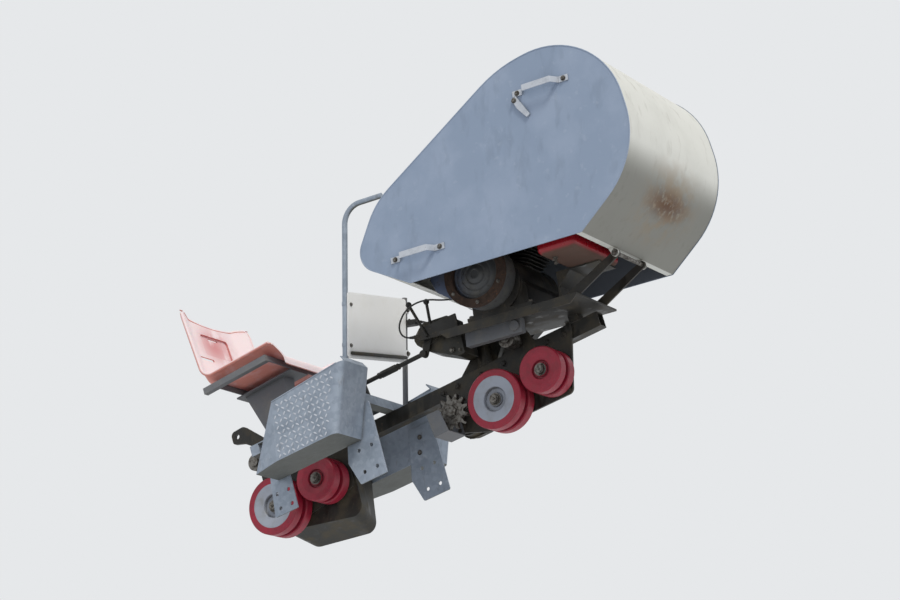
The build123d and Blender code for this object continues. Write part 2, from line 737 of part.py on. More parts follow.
lean = radians(LEAN)
plumb_up = Vector(sin(lean), 0, cos(lean))
uphill = Vector(cos(lean), 0, -sin(lean))
tube_foot = Vector(GRAB_X, 0, DECK_Z)
shield_plane = Plane(origin=tube_foot + uphill * (GRAB_R + SEAT_GAP), x_dir=(0, 1, 0), z_dir=uphill)
shield_near, shield_far = -GRAB_Y - 4.0, GRAB_Y - GRAB_R - 3.0
shield_face = make_face(FilletPolyline(
    (shield_near, SHIELD_LOW), (shield_far, SHIELD_LOW + SHIELD_ASKEW),
    (shield_far, SHIELD_HIGH + SHIELD_ASKEW), (shield_near, SHIELD_HIGH), radius=12.0, close=True))
tabs = [
    # heights of the two tabs that lap the far post
    (SHIELD_LOW + SHIELD_ASKEW + 25.0, SHIELD_LOW + SHIELD_ASKEW + 55.0),
    (SHIELD_HIGH + SHIELD_ASKEW - 58.0, SHIELD_HIGH + SHIELD_ASKEW - 28.0),
]
for low, high in tabs:
    shield_face = shield_face + Pos(shield_far + 6.0, (low + high) / 2) * Rectangle(30.0, high - low)
parts["leg_shield"] = extrude(shield_plane * shield_face, amount=SHIELD_T)

# A rod along the foot of the shield's uphill face, and a clamp on the far post
rod_out = uphill * (GRAB_R + 2 * SEAT_GAP + SHIELD_T + SHIELD_ROD_R)
slant = SHIELD_ASKEW / (shield_far - shield_near)
rod_ends = []
for y in (shield_near + 20.0, shield_far - 12.0):
    height = SHIELD_LOW + 20.0 + slant * (y - shield_near)
    rod_ends.append(tube_foot + rod_out + plumb_up * height + Vector(0, y, 0))
rod_line = Line(*rod_ends)
rod_start = Plane(origin=rod_ends[0], z_dir=rod_line % 0)
parts["shield_rod"] = sweep(rod_start * Circle(SHIELD_ROD_R), path=rod_line)

clamp_at = tube_foot + plumb_up * CLAMP_H + Vector(0, GRAB_Y, 0)
clamp_plane = Plane(origin=clamp_at, x_dir=uphill, z_dir=plumb_up)
clamp = extrude(clamp_plane * Pos(20, 4) * RectangleRounded(78, 34, 9), amount=22.0)
parts["post_clamp"] = clamp - extrude(clamp_plane.offset(-1) * Circle(GRAB_R + FIT_GAP), amount=24.0)

# Engine bed

bed_low, bed_high = BED_A
edge_low = BED_UNDER - BED_FLANGE
bed_corners = [(bed_low, BED_UNDER), (bed_high, BED_UNDER), (bed_high, BED_H), (bed_low, BED_H)]
edge_corners = [(bed_low + 30, edge_low), (bed_high - 30, edge_low), (bed_high, BED_UNDER), (bed_low, BED_UNDER)]
bed_plate = bed_slab(bed_corners, *BED_Y)
parts["engine_bed"] = bed_plate + bed_slab(edge_corners, BED_Y[0], BED_Y[0] + BED_T / 2)


def bed_under_z(x):
    """Height of the bed's underside."""
    t = radians(BED_TILT)
    return HOOD_Z - (x - HOOD_X) * tan(t) + BED_UNDER / cos(t)


uprights = []
for x in (20.0, 440.0):
    corners = [(x, BEAM_Z[1]), (x + TUBE, BEAM_Z[1]), (x + TUBE, bed_under_z(x + TUBE)), (x, bed_under_z(x))]
    uprights.append(slab(corners, BEAM_Y, BEAM_Y + BEAM_W))
parts["bed_uprights"] = group(uprights)

bar_low = BED_UNDER - BAR_H
bar = bed_slab([(40, bar_low), (290, bar_low), (290, BED_UNDER), (40, BED_UNDER)], -45.0 - BAR_W, -45.0,
               [4, 4, 0, 0])
boss_x, boss_z = bed_point(262.0, bar_low + BAR_H / 2)
parts["bed_bar"] = bar + rod_y(20.0, boss_x, boss_z, -55.0 - BAR_W, -45.0 - BAR_W)

a0, a1 = ENGINE_A
y0, y1 = ENGINE_Y
crank_x, crank_z = bed_point(*CRANK_AT)
sump_top = CRANK_AT[1] + 30.0
sump_foot = BED_H + FOOT_T
sump_corners = [
    (a0 + 20, sump_foot),
    (a1 - 110, sump_foot),
    (a1 - 110, sump_top - 60),
    (a1 - 150, sump_top),
    (a0 + 50, sump_top),
    (a0 + 20, sump_top - 50),
]
sump = bed_slab(sump_corners, y0 + SUMP_WALL, y1 - SUMP_WALL, [6, 6, 20, 20, 20, 20])
foot_corners = [(a0, BED_H), (a1 - 90, BED_H), (a1 - 90, sump_foot), (a0, sump_foot)]
feet = bed_slab(foot_corners, y0, y1, [4, 4, 2, 2])
drum = rod_y(CRANK_R, crank_x, crank_z, y0, y1)
shaft_end = rod_y(SHAFT_END_R, crank_x, crank_z, y1, BELT_Y[0])
crankcase = joined([sump, feet, drum, shaft_end])

lean_a = radians(BARREL_LEAN)


def on_barrel(up, out=0.0):
    """A point on the cylinder's axis, or out from it, in the XZ plane."""
    a = CRANK_AT[0] + up * sin(lean_a) + out * cos(lean_a)
    h = CRANK_AT[1] + up * cos(lean_a) - out * sin(lean_a)
    return bed_point(a, h)


def barrel_slice(up0, up1, length, width, corner):
    """A rounded block round the cylinder's axis, from up0 to up1 along it."""
    x, z = on_barrel(up0)
    tip_x, tip_z = on_barrel(up0 + 1.0)
    side_x, side_z = on_barrel(up0, 1.0)
    place = Plane(origin=(x, BARREL_Y, z), x_dir=(side_x - x, 0, side_z - z), z_dir=(tip_x - x, 0, tip_z - z))
    return extrude(place * RectangleRounded(length, width, corner), amount=up1 - up0)


fin_l, fin_w = FIN_SIZE
fins_top = FIN_START + FIN_COUNT * FIN_PITCH
barrel = barrel_slice(FIN_START - 20.0, fins_top, 2 * BARREL_R, 2 * BARREL_R, BARREL_R - 1.0)
for k in range(FIN_COUNT):
    up = FIN_START + k * FIN_PITCH
    spread = 0.78 + 0.22 * min(1.0, k / 3)
    barrel = barrel + barrel_slice(up, up + FIN_T, fin_l * spread, fin_w * spread, 26.0)
head = barrel_slice(fins_top - FIN_PITCH + FIN_T, fins_top + HEAD_H, fin_l * 0.72, fin_w * 0.72, 22.0)
cover = barrel_slice(fins_top + HEAD_H, fins_top + HEAD_H + 18.0, fin_l * 0.6, fin_w * 0.6, 18.0)
parts["engine_block"] = joined([crankcase, barrel, head, cover])

# The muffler lies beside the cylinder head, and the air cleaner stands on the downhill side
muffler_x, muffler_z = on_barrel(fins_top - 6.0, fin_l / 2 + MUFFLER_R + 14.0)
muffler = rod_y(MUFFLER_R, muffler_x, muffler_z, BARREL_Y - MUFFLER_LENGTH / 2, BARREL_Y + MUFFLER_LENGTH / 2)
muffler = fillet(muffler.edges().filter_by(GeomType.CIRCLE), 12.0)
port_in, port_out = fin_l * 0.36 + SEAT_GAP, fin_l / 2 + 50.0
port_up = (fins_top + 4.0, fins_top + 30.0)
port_corners = [
    on_barrel(port_up[0], port_in),
    on_barrel(port_up[0], port_out),
    on_barrel(port_up[1], port_out),
    on_barrel(port_up[1], port_in),
]
parts["muffler"] = muffler + slab(port_corners, BARREL_Y - 22.0, BARREL_Y + 22.0)

cleaner_x, cleaner_z = on_barrel(fins_top + 6.0, -fin_l / 2 - CLEANER_R - 6.0)
can_y = (BARREL_Y - CLEANER_H / 2, BARREL_Y + CLEANER_H / 2)
can_profile = [
    # radius, y
    (0, can_y[0]),
    (CLEANER_R - 10, can_y[0]),
    (CLEANER_R, can_y[0] + 10),
    (CLEANER_R, can_y[1] - 8),
    (CLEANER_R - 8, can_y[1]),
    (0, can_y[1]),
]
intake_corners = [
    on_barrel(port_up[0], -fin_l / 2 - 30.0),
    on_barrel(port_up[0], -port_in),
    on_barrel(port_up[1], -port_in),
    on_barrel(port_up[1], -fin_l / 2 - 30.0),
]
intake = slab(intake_corners, BARREL_Y - 20.0, BARREL_Y + 20.0)
parts["air_cleaner"] = turned(can_profile, cleaner_x, cleaner_z) + intake

# The belt cover on the far side, from the engine's shaft down to the gear case
driven_x, driven_z = (10.0, 75.0)
ends = [(crank_x, crank_z, BELT_PULLEY_R), (driven_x, driven_z, BELT_DRIVEN_R)]
belt_face = make_hull([(Pos(x, z) * Circle(r)).edges()[0] for x, z, r in ends])
belt_cover = slab_of(belt_face, *BELT_Y)
rim_edges = belt_cover.edges().group_by(Axis.Y)[-1]
parts["belt_cover"] = fillet(rim_edges, 12.0)

# The blower housing: a drum on the engine's near face, with a duct that runs out downhill and a ribbed dome
fan_x, fan_z = bed_point(*FAN_AT)
fan_face = y0 - FAN_W
duct = bed_slab([(0, 50), (24, -14), (97, -66), (180, -110), (215, 130), (90, 110)],
                fan_face, y0, [20, 25, 30, 1, 30, 30])
fan_case = rod_y(FAN_R, fan_x, fan_z, fan_face, y0)
ring_in = FAN_R + 6.0 - RING_W
dome = [(0, fan_face), (ring_in - 4.0, fan_face)]
steps = 4
for k in range(steps):
    r = (ring_in - 4.0) * (1 - k / steps)
    out = fan_face - FAN_DOME * (k + 1) / steps
    dome += [(r - 2.0, out), (r - 8.0, out), (r - 9.0, out + 2.5)]
dome += [(0, fan_face - FAN_DOME + 2.5)]
parts["fan_shroud"] = fan_case + duct + turned(dome, fan_x, fan_z)
ring = rod_y(FAN_R + 6.0, fan_x, fan_z, fan_face - RING_T, fan_face)
parts["fan_ring"] = ring - rod_y(ring_in, fan_x, fan_z, fan_face - RING_T - 1.0, fan_face + 1.0)

tank_middle = (TANK_H[0] + TANK_H[1]) / 2
(tank_a0, tank_a1), (tank_h0, tank_h1) = TANK_A, TANK_H
tank = bed_slab([(tank_a0, tank_h0), (tank_a1, tank_h0), (tank_a1, tank_h1), (tank_a0, tank_h1)], *TANK_Y)
tank = fillet(tank.edges(), TANK_ROUND)
seam_out, seam_t = TANK_SEAM
seam_x, seam_z = bed_point((TANK_A[0] + TANK_A[1]) / 2, tank_middle)
tilt = radians(BED_TILT)
seam_middle = (seam_x, (TANK_Y[0] + TANK_Y[1]) / 2, seam_z)
seam_place = Plane(origin=seam_middle, x_dir=(cos(tilt), 0, -sin(tilt)), z_dir=(sin(tilt), 0, cos(tilt)))
seam_size = (TANK_A[1] - TANK_A[0] + 2 * seam_out, TANK_Y[1] - TANK_Y[0] + 2 * seam_out)
seam_face = RectangleRounded(*seam_size, TANK_ROUND + seam_out)
seam = extrude(seam_place.offset(-seam_t / 2) * seam_face, amount=seam_t)
tank_top = TANK_H[1] - tank_middle
cap_h = 18.0
neck_h = FILLER_H - cap_h
neck = extrude(seam_place.offset(tank_top - 1.0) * Pos(0, -70) * Circle(FILLER_R), amount=neck_h + 1.0)
cap = extrude(seam_place.offset(tank_top + neck_h) * Pos(0, -70) * Circle(FILLER_R + 7.0), amount=cap_h)
parts["fuel_tank"] = joined([tank, seam, neck, cap])
shelf = TANK_H[0]
bracket_corners = [
    # along the bed, up from it
    (a1, BED_H),
    (a1 + 50, BED_H),
    (a1 + 50, BED_H + 6),
    (a1 + 6, BED_H + 6),
    (a1 + 6, shelf - 60),
    (a1 + 60, shelf - 6),
    (TANK_A[1] - 20, shelf - 6),
    (TANK_A[1] - 20, shelf),
    (a1, shelf),
]
parts["tank_bracket"] = bed_slab(bracket_corners, -90.0, 50.0)

# Hood


def hood_outline(inset=0.0):
    """The hood's side view, with two flat edges below and round stretches above."""
    corners = [(58, 299), (-150, 472), (8, 667.2), (662, 930), (1112, 930), (1112, 343), (791, 167)]
    face = outline(corners, [10, 85, 300, 500, 330, 350, 8])
    return offset(face, -inset) if inset else face


for side, name in ((-1, "near"), (1, "far")):
    y = sorted((side * HOOD_HALF, side * (HOOD_HALF - HOOD_T)))
    parts[f"hood_side_{name}"] = slab_of(hood_outline(), *y)

inside = HOOD_HALF - HOOD_T
wrap = slab_of(hood_outline(), -inside, inside) - slab_of(hood_outline(HOOD_T), -inside - 1.0, inside + 1.0)
bottom = bed_slab([(6, -30), (738, -30), (738, 30), (6, 30)], -inside - 1.0, inside + 1.0)
wrap = wrap - bottom
hinge_x, hinge_z = bed_point(HINGE_A, -HINGE_DROP)
lip_a = (HINGE_A - LIP_W - 1.0, HINGE_A - 1.0)
ear_rows = [-EAR_Y - EAR_T - 2.0, EAR_Y + 2.0]
ears = []
ear_foot = -HINGE_DROP
ear_corners = [(HINGE_A - EAR_R, ear_foot), (lip_a[0] + 1, 0), (lip_a[1], 0), (HINGE_A + EAR_R, ear_foot)]
for y in ear_rows:
    ear = bed_slab(ear_corners, y, y + EAR_T)
    ear = ear + rod_y(EAR_R, hinge_x, hinge_z, y, y + EAR_T)
    ears.append(ear - rod_y(HINGE_R + FIT_GAP, hinge_x, hinge_z, y - 1.0, y + EAR_T + 1.0))
lip = bed_slab([(lip_a[0], 0), (lip_a[1], 0), (lip_a[1], HOOD_T), (lip_a[0], HOOD_T)], -inside, inside)
parts["hood_wrap"] = joined([wrap, lip] + ears)


def strap_handle(a, h, side):
    """A bent flat bar on a hood side: foot, leg, grip, leg, foot."""
    t, width, reach, length = 4.0, 24.0, 36.0, 240.0
    path = [(0, 0), (40, 0), (60, reach), (length - 60, reach), (length - 40, 0), (length, 0)]
    back = [(x, y + t) for x, y in path]
    bar_face = make_face(Polyline(*path, *reversed(back), close=True))
    bar_solid = extrude(bar_face, amount=width)
    x, z = bed_point(a - length / 2, h - width / 2)
    along = (cos(radians(BED_TILT)), 0, -sin(radians(BED_TILT)))
    up = (sin(radians(BED_TILT)), 0, cos(radians(BED_TILT)))
    place = Plane(origin=(x, -HOOD_HALF, z), x_dir=along, z_dir=up)
    handle = place * mirror(bar_solid, Plane.XZ)
    if side > 0:
        handle = mirror(handle, Plane.XZ)
    return handle


handles = []
for side in (-1, 1):
    for a, h in ((48.0, 105.0), (659.0, 605.0)):
        handles.append(strap_handle(a, h, side))
parts["hood_handles"] = group(handles)

latch_y = (-HOOD_HALF - 10.0, -HOOD_HALF)
parts["hood_latch"] = bed_slab([(534, 588), (556, 590), (604, 508), (590, 498), (552, 545)], *latch_y, 4.0)

arms = []
arm_corners = [(485, BED_H), (570, BED_H), (HINGE_A + 10, -HINGE_DROP - 11), (HINGE_A - 10, -HINGE_DROP + 11)]
for y in (-EAR_Y, EAR_Y - EAR_T):
    arm = bed_slab(arm_corners, y, y + EAR_T)
    arm = arm + rod_y(EAR_R, hinge_x, hinge_z, y, y + EAR_T)
    arms.append(arm - rod_y(HINGE_R + FIT_GAP, hinge_x, hinge_z, y - 1.0, y + EAR_T + 1.0))
parts["hinge_arms"] = group(arms)
parts["hinge_pin"] = rod_y(HINGE_R, hinge_x, hinge_z, -EAR_Y - EAR_T - 8.0, EAR_Y + EAR_T + 8.0)

# Controls between the seat and the engine

quadrant = slab(
    [bed_point(-28, BED_H), bed_point(30, BED_H), bed_point(20, -70), (-105, 235), (-125, 190)],
    -100.0,
    -92.0,
)
near_lever = round_bar([(-75, 190), (-115, 345)], -104.0, LEVER_R, 0)
far_lever = round_bar([(-60, 190), (-45, 330)], -88.0, LEVER_R, 0)
knobs = [Pos(-115, -104, 345) * Sphere(2 * LEVER_R), Pos(-45, -88, 330) * Sphere(2 * LEVER_R)]
parts["control_levers"] = joined([quadrant, near_lever, far_lever] + knobs)

# The pull rod runs level from the deck's lug to the foot of the clutch lever

ARM_T = 8.0
PULL_R = 9.0
arm_face = CLUTCH_Y[0] - CLUTCH_BOSS_T - SEAT_GAP
pull_y = arm_face - ARM_T - PULL_R
pull_z = DECK_TOP + 49.0
lug_x, eye_x = TUBE_X[1], -122.0
lug_top = pull_z + 14.0
lug_corners = [(lug_x - 20, DECK_Z), (lug_x + 20, DECK_Z), (lug_x + 12, lug_top), (lug_x - 12, lug_top)]
lug = slab(lug_corners, pull_y - 6.0, pull_y + 6.0)
rod = round_bar([(lug_x, pull_z), (eye_x, pull_z)], pull_y, PULL_R, 0)
eye = rod_y(14.0, eye_x, pull_z, pull_y - PULL_R, arm_face)
pivot = rod_y(16.0, *CLUTCH_PIVOT, arm_face - ARM_T - 6.0, arm_face)
arm_ends = [(*CLUTCH_PIVOT, 16.0), (eye_x, pull_z, 14.0)]
arm_outline = make_hull([(Pos(x, z) * Circle(r)).edges()[0] for x, z, r in arm_ends])
arm = slab_of(arm_outline, arm_face - ARM_T, arm_face)
parts["pull_rod"] = joined([rod, lug, eye, pivot, arm])

# Control cables. Each leaves a piece at its first point and goes into a gland at its last one.


def cable(points):
    """A round cable along a line of points, each corner rounded as far as its shorter side allows."""
    points = [Vector(*p) for p in points]
    radii = []
    for a, b, c in zip(points, points[1:], points[2:]):
        turn = radians((b - a).get_angle(c - b))
        radii.append(0.45 * min((b - a).length, (c - b).length) / tan(turn / 2))
    path = FilletPolyline(*points, radius=radii)
    tube = sweep(Plane(origin=path @ 0, z_dir=path % 0) * Circle(CABLE_R), path=path)
    ratio = tube.volume / (pi * CABLE_R**2 * path.length)
    print("cable radii", [round(r) for r in radii], "volume over section times length", round(ratio, 4))
    return tube


def gland(points, length):
    """The fitting that a cable goes into, in line with the cable's last run."""
    tip = Vector(*points[-1])
    return extrude(Plane(origin=tip, z_dir=tip - Vector(*points[-2])) * Circle(GLAND_R), amount=length)


clamp_end = tube_foot + plumb_up * (CLAMP_H + 11.0) + uphill * (59.0 + SEAT_GAP) + Vector(0, GRAB_Y, 0)
clutch_start = clamp_end - Vector(0, 5, 0)
brake_start = clamp_end + Vector(0, 9, 0)
clutch_route = [
    clutch_start,
    clutch_start + uphill * 40.0,
    (-184, 192, 332),
    (-146, 140, 278),
    (-116, 96, 250),
    (-98, 62, 240),
]
brake_route = [
    brake_start,
    brake_start + uphill * 46.0,
    (-196, 216, 338),
    (-176, 170, 256),
    (-150, 120, 214),
    (-134, 66, 206),
]
throttle_route = [
    (-134, -96, 213),
    (-176, -100, 224),
    (-186, -110, 270),
    (-146, -120, 312),
    (-90, -126, 330),
    (-20, -130, 320),
    (44, -130, 286),
    (104, -129, 266),
    (156, -128, 262),
]
parts["clutch_cable"] = cable(clutch_route)
parts["brake_cable"] = cable(brake_route)
parts["throttle_cable"] = cable(throttle_route)
parts["clutch_housing"] = parts["clutch_housing"] + gland(clutch_route, 24.0) + gland(brake_route, 24.0)
parts["engine_block"] = parts["engine_block"] + gland(throttle_route, 24.0)
parts["control_levers"] = parts["control_levers"] + gland(throttle_route[1::-1], 24.0)

# Write one file for each piece

os.makedirs("parts", exist_ok=True)
for name, solid in parts.items():
    export_step(solid, f"parts/{name}.step")
print(len(parts), "pieces; hinge at", round(hinge_x, 1), round(hinge_z, 1))
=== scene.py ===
# %% [markdown]
# # A vineyard rack monorail, dressed for the camera
#
# The machine climbs steep slopes. Four pairs of red wheels hold it from below, and a toothed pinion drives it. A hood
# covers the engine, and downhill of the hood is a seat with a foot tray on each side.
# Every large solid comes from the CAD frame at its real size. This file gives the pieces their finishes, draws the
# control cables anew as curves, and adds what the CAD leaves out, such as bolts, welds, hems and tread plate.

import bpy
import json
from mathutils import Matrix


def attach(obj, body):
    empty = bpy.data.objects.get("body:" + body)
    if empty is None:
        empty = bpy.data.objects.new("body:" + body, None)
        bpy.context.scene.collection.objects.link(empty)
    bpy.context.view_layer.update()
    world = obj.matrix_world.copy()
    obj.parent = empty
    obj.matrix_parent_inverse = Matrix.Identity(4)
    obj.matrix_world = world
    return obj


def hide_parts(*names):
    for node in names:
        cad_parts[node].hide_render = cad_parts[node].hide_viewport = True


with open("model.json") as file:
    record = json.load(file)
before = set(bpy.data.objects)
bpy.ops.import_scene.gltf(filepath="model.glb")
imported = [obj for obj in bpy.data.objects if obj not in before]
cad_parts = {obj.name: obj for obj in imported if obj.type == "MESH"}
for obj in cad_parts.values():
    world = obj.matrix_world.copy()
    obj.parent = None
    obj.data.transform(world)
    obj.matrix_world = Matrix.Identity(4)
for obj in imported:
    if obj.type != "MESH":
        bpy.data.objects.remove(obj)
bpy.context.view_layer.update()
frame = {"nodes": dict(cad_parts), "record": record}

# %% What the lesson needs
import json
import random
from cmath import phase, rect
from math import ceil, cos, degrees, pi, radians, sin, sqrt, tan

import bmesh
import bpy
from mathutils import Matrix, Vector

MM = 0.001  # the scene is in metres, and small sizes are easier to read in millimetres
dice = random.Random(7)  # one seeded source of chance, so that each run gives the same welds


def new_object(name, data):
    """Adds an object with this data to the scene."""
    thing = bpy.data.objects.new(name, data)
    bpy.context.scene.collection.objects.link(thing)
    return thing


print("one millimetre is", MM, "units")

# %% [markdown]
# ## The camera
#
# The photograph looks up at the machine from about ten metres away. The machine climbs at about 17 degrees there. In
# this model it is level, so the camera is the one that leans: its up direction is the plumb line, which is tipped 17
# degrees in the machine's own axes. Aiming a camera with a look direction and an up direction is easier to read than
# three Euler angles.

# %% Aim the camera
SLOPE = radians(17.2)
CAMERA_AT = Vector((4.149, -8.540, -3.514))
CAMERA_LOOKS_AT = Vector((0.062, -0.099, 0.286))
CAMERA_LENS = 104.0  # longer than the photograph's, so that the machine fills the frame
CAMERA_ROLL = radians(-0.65)  # the photograph isn't quite level

camera_data = bpy.data.cameras.new("camera")
camera = new_object("camera", camera_data)
bpy.context.scene.camera = camera
camera_data.sensor_width = 36.0
camera_data.lens = CAMERA_LENS
camera_data.clip_end = 200.0

look = (CAMERA_LOOKS_AT - CAMERA_AT).normalized()
plumb_up = Vector((sin(SLOPE), 0.0, cos(SLOPE)))
right = look.cross(plumb_up).normalized()
up = right.cross(look)
axes = Matrix((right, up, -look)).transposed().to_4x4()
camera.matrix_world = Matrix.Translation(CAMERA_AT) @ axes @ Matrix.Rotation(CAMERA_ROLL, 4, "Z")
print("camera is", round((CAMERA_LOOKS_AT - CAMERA_AT).length, 2), "m from the machine")

# %% [markdown]
# ## Colours and nodes
#
# Colours are written as the hex values that an image editor shows. Those are sRGB values, and the shader works in
# linear light, so one function turns one into the other. A second function adds a node with its settings and links.
# Everything else about a finish is a visible effect, such as dirt in corners or worn edges.


# %% One function for colours
def paint(hex_colour):
    """A hex colour such as '#9caec6' as linear red, green, blue and alpha."""
    linear = []
    for i in (1, 3, 5):
        s = int(hex_colour[i:i + 2], 16) / 255
        linear.append(s / 12.92 if s <= 0.04045 else ((s + 0.055) / 1.055) ** 2.4)
    return (*linear, 1.0)


print("mid grey #808080 is", round(paint("#808080")[0], 3), "in linear light")


# %% One function for nodes
def add(owner, kind, links=None, **settings):
    """Adds a shader node. links maps an input's name or number to a value, an output, or a node's first output."""
    node = owner.node_tree.nodes.new("ShaderNode" + kind)
    for name, value in settings.items():
        setattr(node, name, value)
    for socket, value in (links or {}).items():
        if isinstance(value, bpy.types.Node):
            value = value.outputs[0]
        if isinstance(value, bpy.types.NodeSocket):
            owner.node_tree.links.new(value, node.inputs[socket])
        else:
            node.inputs[socket].default_value = value
    return node


print("nodes are added by", add.__name__)

# %% [markdown]
# ## Studio
#
# The light is soft. One broad sun stands uphill and a little to the near side, as in the photograph, so that the
# hood's wrapped sheet is the brightest face. The sky fills the shadows. Rays straight from the camera, off a mirror
# or through glass see a pale backdrop of strength 1 and not the dimmer sky.

# %% The sky
BACKDROP = "#e6e8ea"
SKY_STRENGTH = 0.64

bpy.context.scene.view_settings.view_transform = "Standard"
world = bpy.data.worlds.new("studio sky")
bpy.context.scene.world = world
world.use_nodes = True
world.node_tree.nodes.clear()
path = add(world, "LightPath").outputs
seen = add(world, "Math", {0: path["Is Camera Ray"], 1: path["Is Glossy Ray"]}, operation="MAXIMUM")
seen = add(world, "Math", {0: seen, 1: path["Is Transmission Ray"]}, operation="MAXIMUM")
sky = add(world, "Background", {"Color": paint("#f2f5fa"), "Strength": SKY_STRENGTH})
backdrop = add(world, "Background", {"Color": paint(BACKDROP), "Strength": 1.0})
both = add(world, "MixShader", {0: seen, 1: sky, 2: backdrop})
add(world, "OutputWorld", {"Surface": both})
print("sky strength", SKY_STRENGTH, "behind a backdrop of", BACKDROP)

# %% The sun
SUN_STRENGTH = 1.6  # with the sky, a face turned to the sun shows its colour about as it is written
SUN_FROM = Vector((0.70, -0.42, 0.70))

sun_data = bpy.data.lights.new("soft sun", "SUN")
sun_data.energy = SUN_STRENGTH
sun_data.angle = radians(14)
sun_data.color = paint("#fffaf0")[:3]
sun = new_object("soft sun", sun_data)
sun.rotation_mode = "QUATERNION"
sun.rotation_quaternion = SUN_FROM.to_track_quat("Z", "Y")
print("the sun shines from", tuple(round(v, 2) for v in SUN_FROM))

# %% [markdown]
# The floor lies as low as the camera, far below the machine, which runs high over the ground. A horizon line would
# draw the eye, so the floor's colour fades to the backdrop's at its rim, and no edge shows.

# %% The floor
FLOOR_Z = -3.60
FLOOR_R = 9.0

floor_paint = bpy.data.materials.new("studio floor")
floor_paint.use_nodes = True
floor_paint.node_tree.nodes.clear()
where = add(floor_paint, "TexCoord").outputs["Object"]
radius = add(floor_paint, "VectorMath", {0: where}, operation="LENGTH").outputs["Value"]
fade = {"Value": radius, "From Min": 0.35 * FLOOR_R, "From Max": 0.95 * FLOOR_R}
rim = add(floor_paint, "MapRange", fade, interpolation_type="SMOOTHSTEP")
matt = add(floor_paint, "BsdfDiffuse", {"Color": paint("#dfe1e3")})
glow = add(floor_paint, "Emission", {"Color": paint(BACKDROP), "Strength": 1.0})
faded = add(floor_paint, "MixShader", {0: rim, 1: matt, 2: glow})
add(floor_paint, "OutputMaterial", {"Surface": faded})

disc = bmesh.new()
bmesh.ops.create_circle(disc, cap_ends=True, radius=FLOOR_R, segments=96)
floor_data = bpy.data.meshes.new("floor")
disc.to_mesh(floor_data)
disc.free()
floor_data.materials.append(floor_paint)
floor = new_object("floor", floor_data)
floor.location = (0, 0, FLOOR_Z)
print("floor disc", 2 * FLOOR_R, "m across at height", FLOOR_Z)

# %% [markdown]
# ## How every finish is built
#
# No surface on a farm machine has one flat colour. A finish starts as a coat with one colour and roughness, and each
# effect lays something over it. The coat also rounds sharp CAD corners for the eye: the shader's Bevel node bends the
# surface direction near an edge, so that it catches light as a real one does.


# %% A coat in the making
class Coat:
    """A finish in the making: its material, and the colour, roughness and surface direction laid so far."""

    def __init__(self, name, colour, roughness, edge_mm=1.6):
        self.material = bpy.data.materials.new(name)
        self.material.use_nodes = True
        self.node_tree = self.material.node_tree
        self.node_tree.nodes.clear()
        self.place = add(self, "TexCoord").outputs["Object"]
        self.round = add(self, "Bevel", {"Radius": edge_mm * MM}, samples=4)
        self.normal = self.round
        self.colour = paint(colour)
        self.roughness = roughness


def cover(coat, mask, strength, colour, roughness):
    """Lays a second colour and roughness over the coat where the mask is 1."""
    amount = add(coat, "Math", {0: mask, 1: strength}, operation="MULTIPLY")
    tint = {0: amount, 6: coat.colour, 7: paint(colour)}
    coat.colour = add(coat, "Mix", tint, data_type="RGBA").outputs[2]
    gloss = {0: amount, 2: coat.roughness, 3: roughness}
    coat.roughness = add(coat, "Mix", gloss)


print("a coat rounds its edges by 1.6 mm")

# %% [markdown]
# Dirt, fading and rust come in patches. Noise gives clouds of values round one half, and two thresholds cut them to
# patches with soft rims. High thresholds leave few. Where rain drew them out, the noise is stretched along the plumb
# line, which leans by the slope in this model.


# %% Patches and runs
def patches(coat, size_mm, low, high, detail=4.0, runs=1.0):
    """A mask of irregular patches about size_mm wide. runs under 1 draws them out along the plumb line."""
    place = coat.place
    if runs < 1.0:
        upright = {"Vector": place, "Angle": -SLOPE}
        place = add(coat, "VectorRotate", upright, rotation_type="Y_AXIS")
        place = add(coat, "Mapping", {"Vector": place, "Scale": (1, 1, runs)})
    cloud = {"Vector": place, "Scale": 1 / (size_mm * MM), "Detail": detail, "Roughness": 0.55}
    cloud = add(coat, "TexNoise", cloud).outputs["Fac"]
    cut = {"Value": cloud, "From Min": low, "From Max": high}
    return add(coat, "MapRange", cut, interpolation_type="SMOOTHSTEP")


print("patches can run down at", round(degrees(SLOPE), 1), "degrees to the model's Z")

# %% [markdown]
# Three more masks follow the shape itself. Ambient Occlusion is low where other surfaces are close, which is where
# dirt stays. Along an edge the bent surface direction and the true one differ, and that is where paint rubs off. The
# third mask follows which way a surface faces: it gives painted shade on faces that look down, painted light on the
# seat's upper faces, and dust on faces that look up.


# %% Corners, edges and faces
def corner_dirt(coat, reach_mm=25.0):
    """A mask that is 1 deep in corners."""
    room = add(coat, "AmbientOcclusion", {"Distance": reach_mm * MM}, samples=4).outputs["AO"]
    cut = {"Value": room, "From Min": 0.85, "From Max": 0.35}
    return add(coat, "MapRange", cut, interpolation_type="SMOOTHSTEP")


def rubbed_edges(coat):
    """A mask that is 1 along sharp edges."""
    true = add(coat, "NewGeometry").outputs["Normal"]
    same = add(coat, "VectorMath", {0: coat.round, 1: true}, operation="DOT_PRODUCT")
    cut = {"Value": same.outputs["Value"], "From Min": 0.98, "From Max": 0.75}
    return add(coat, "MapRange", cut, interpolation_type="SMOOTHSTEP")


def facing(coat, direction, low, high):
    """A mask that is 1 where the surface looks in a direction."""
    true = add(coat, "NewGeometry").outputs["Normal"]
    along = {0: true, 1: tuple(Vector(direction).normalized())}
    same = add(coat, "VectorMath", along, operation="DOT_PRODUCT").outputs["Value"]
    cut = {"Value": same, "From Min": low, "From Max": high}
    return add(coat, "MapRange", cut, interpolation_type="SMOOTHSTEP")


print("masks:", corner_dirt.__name__, rubbed_edges.__name__, facing.__name__)


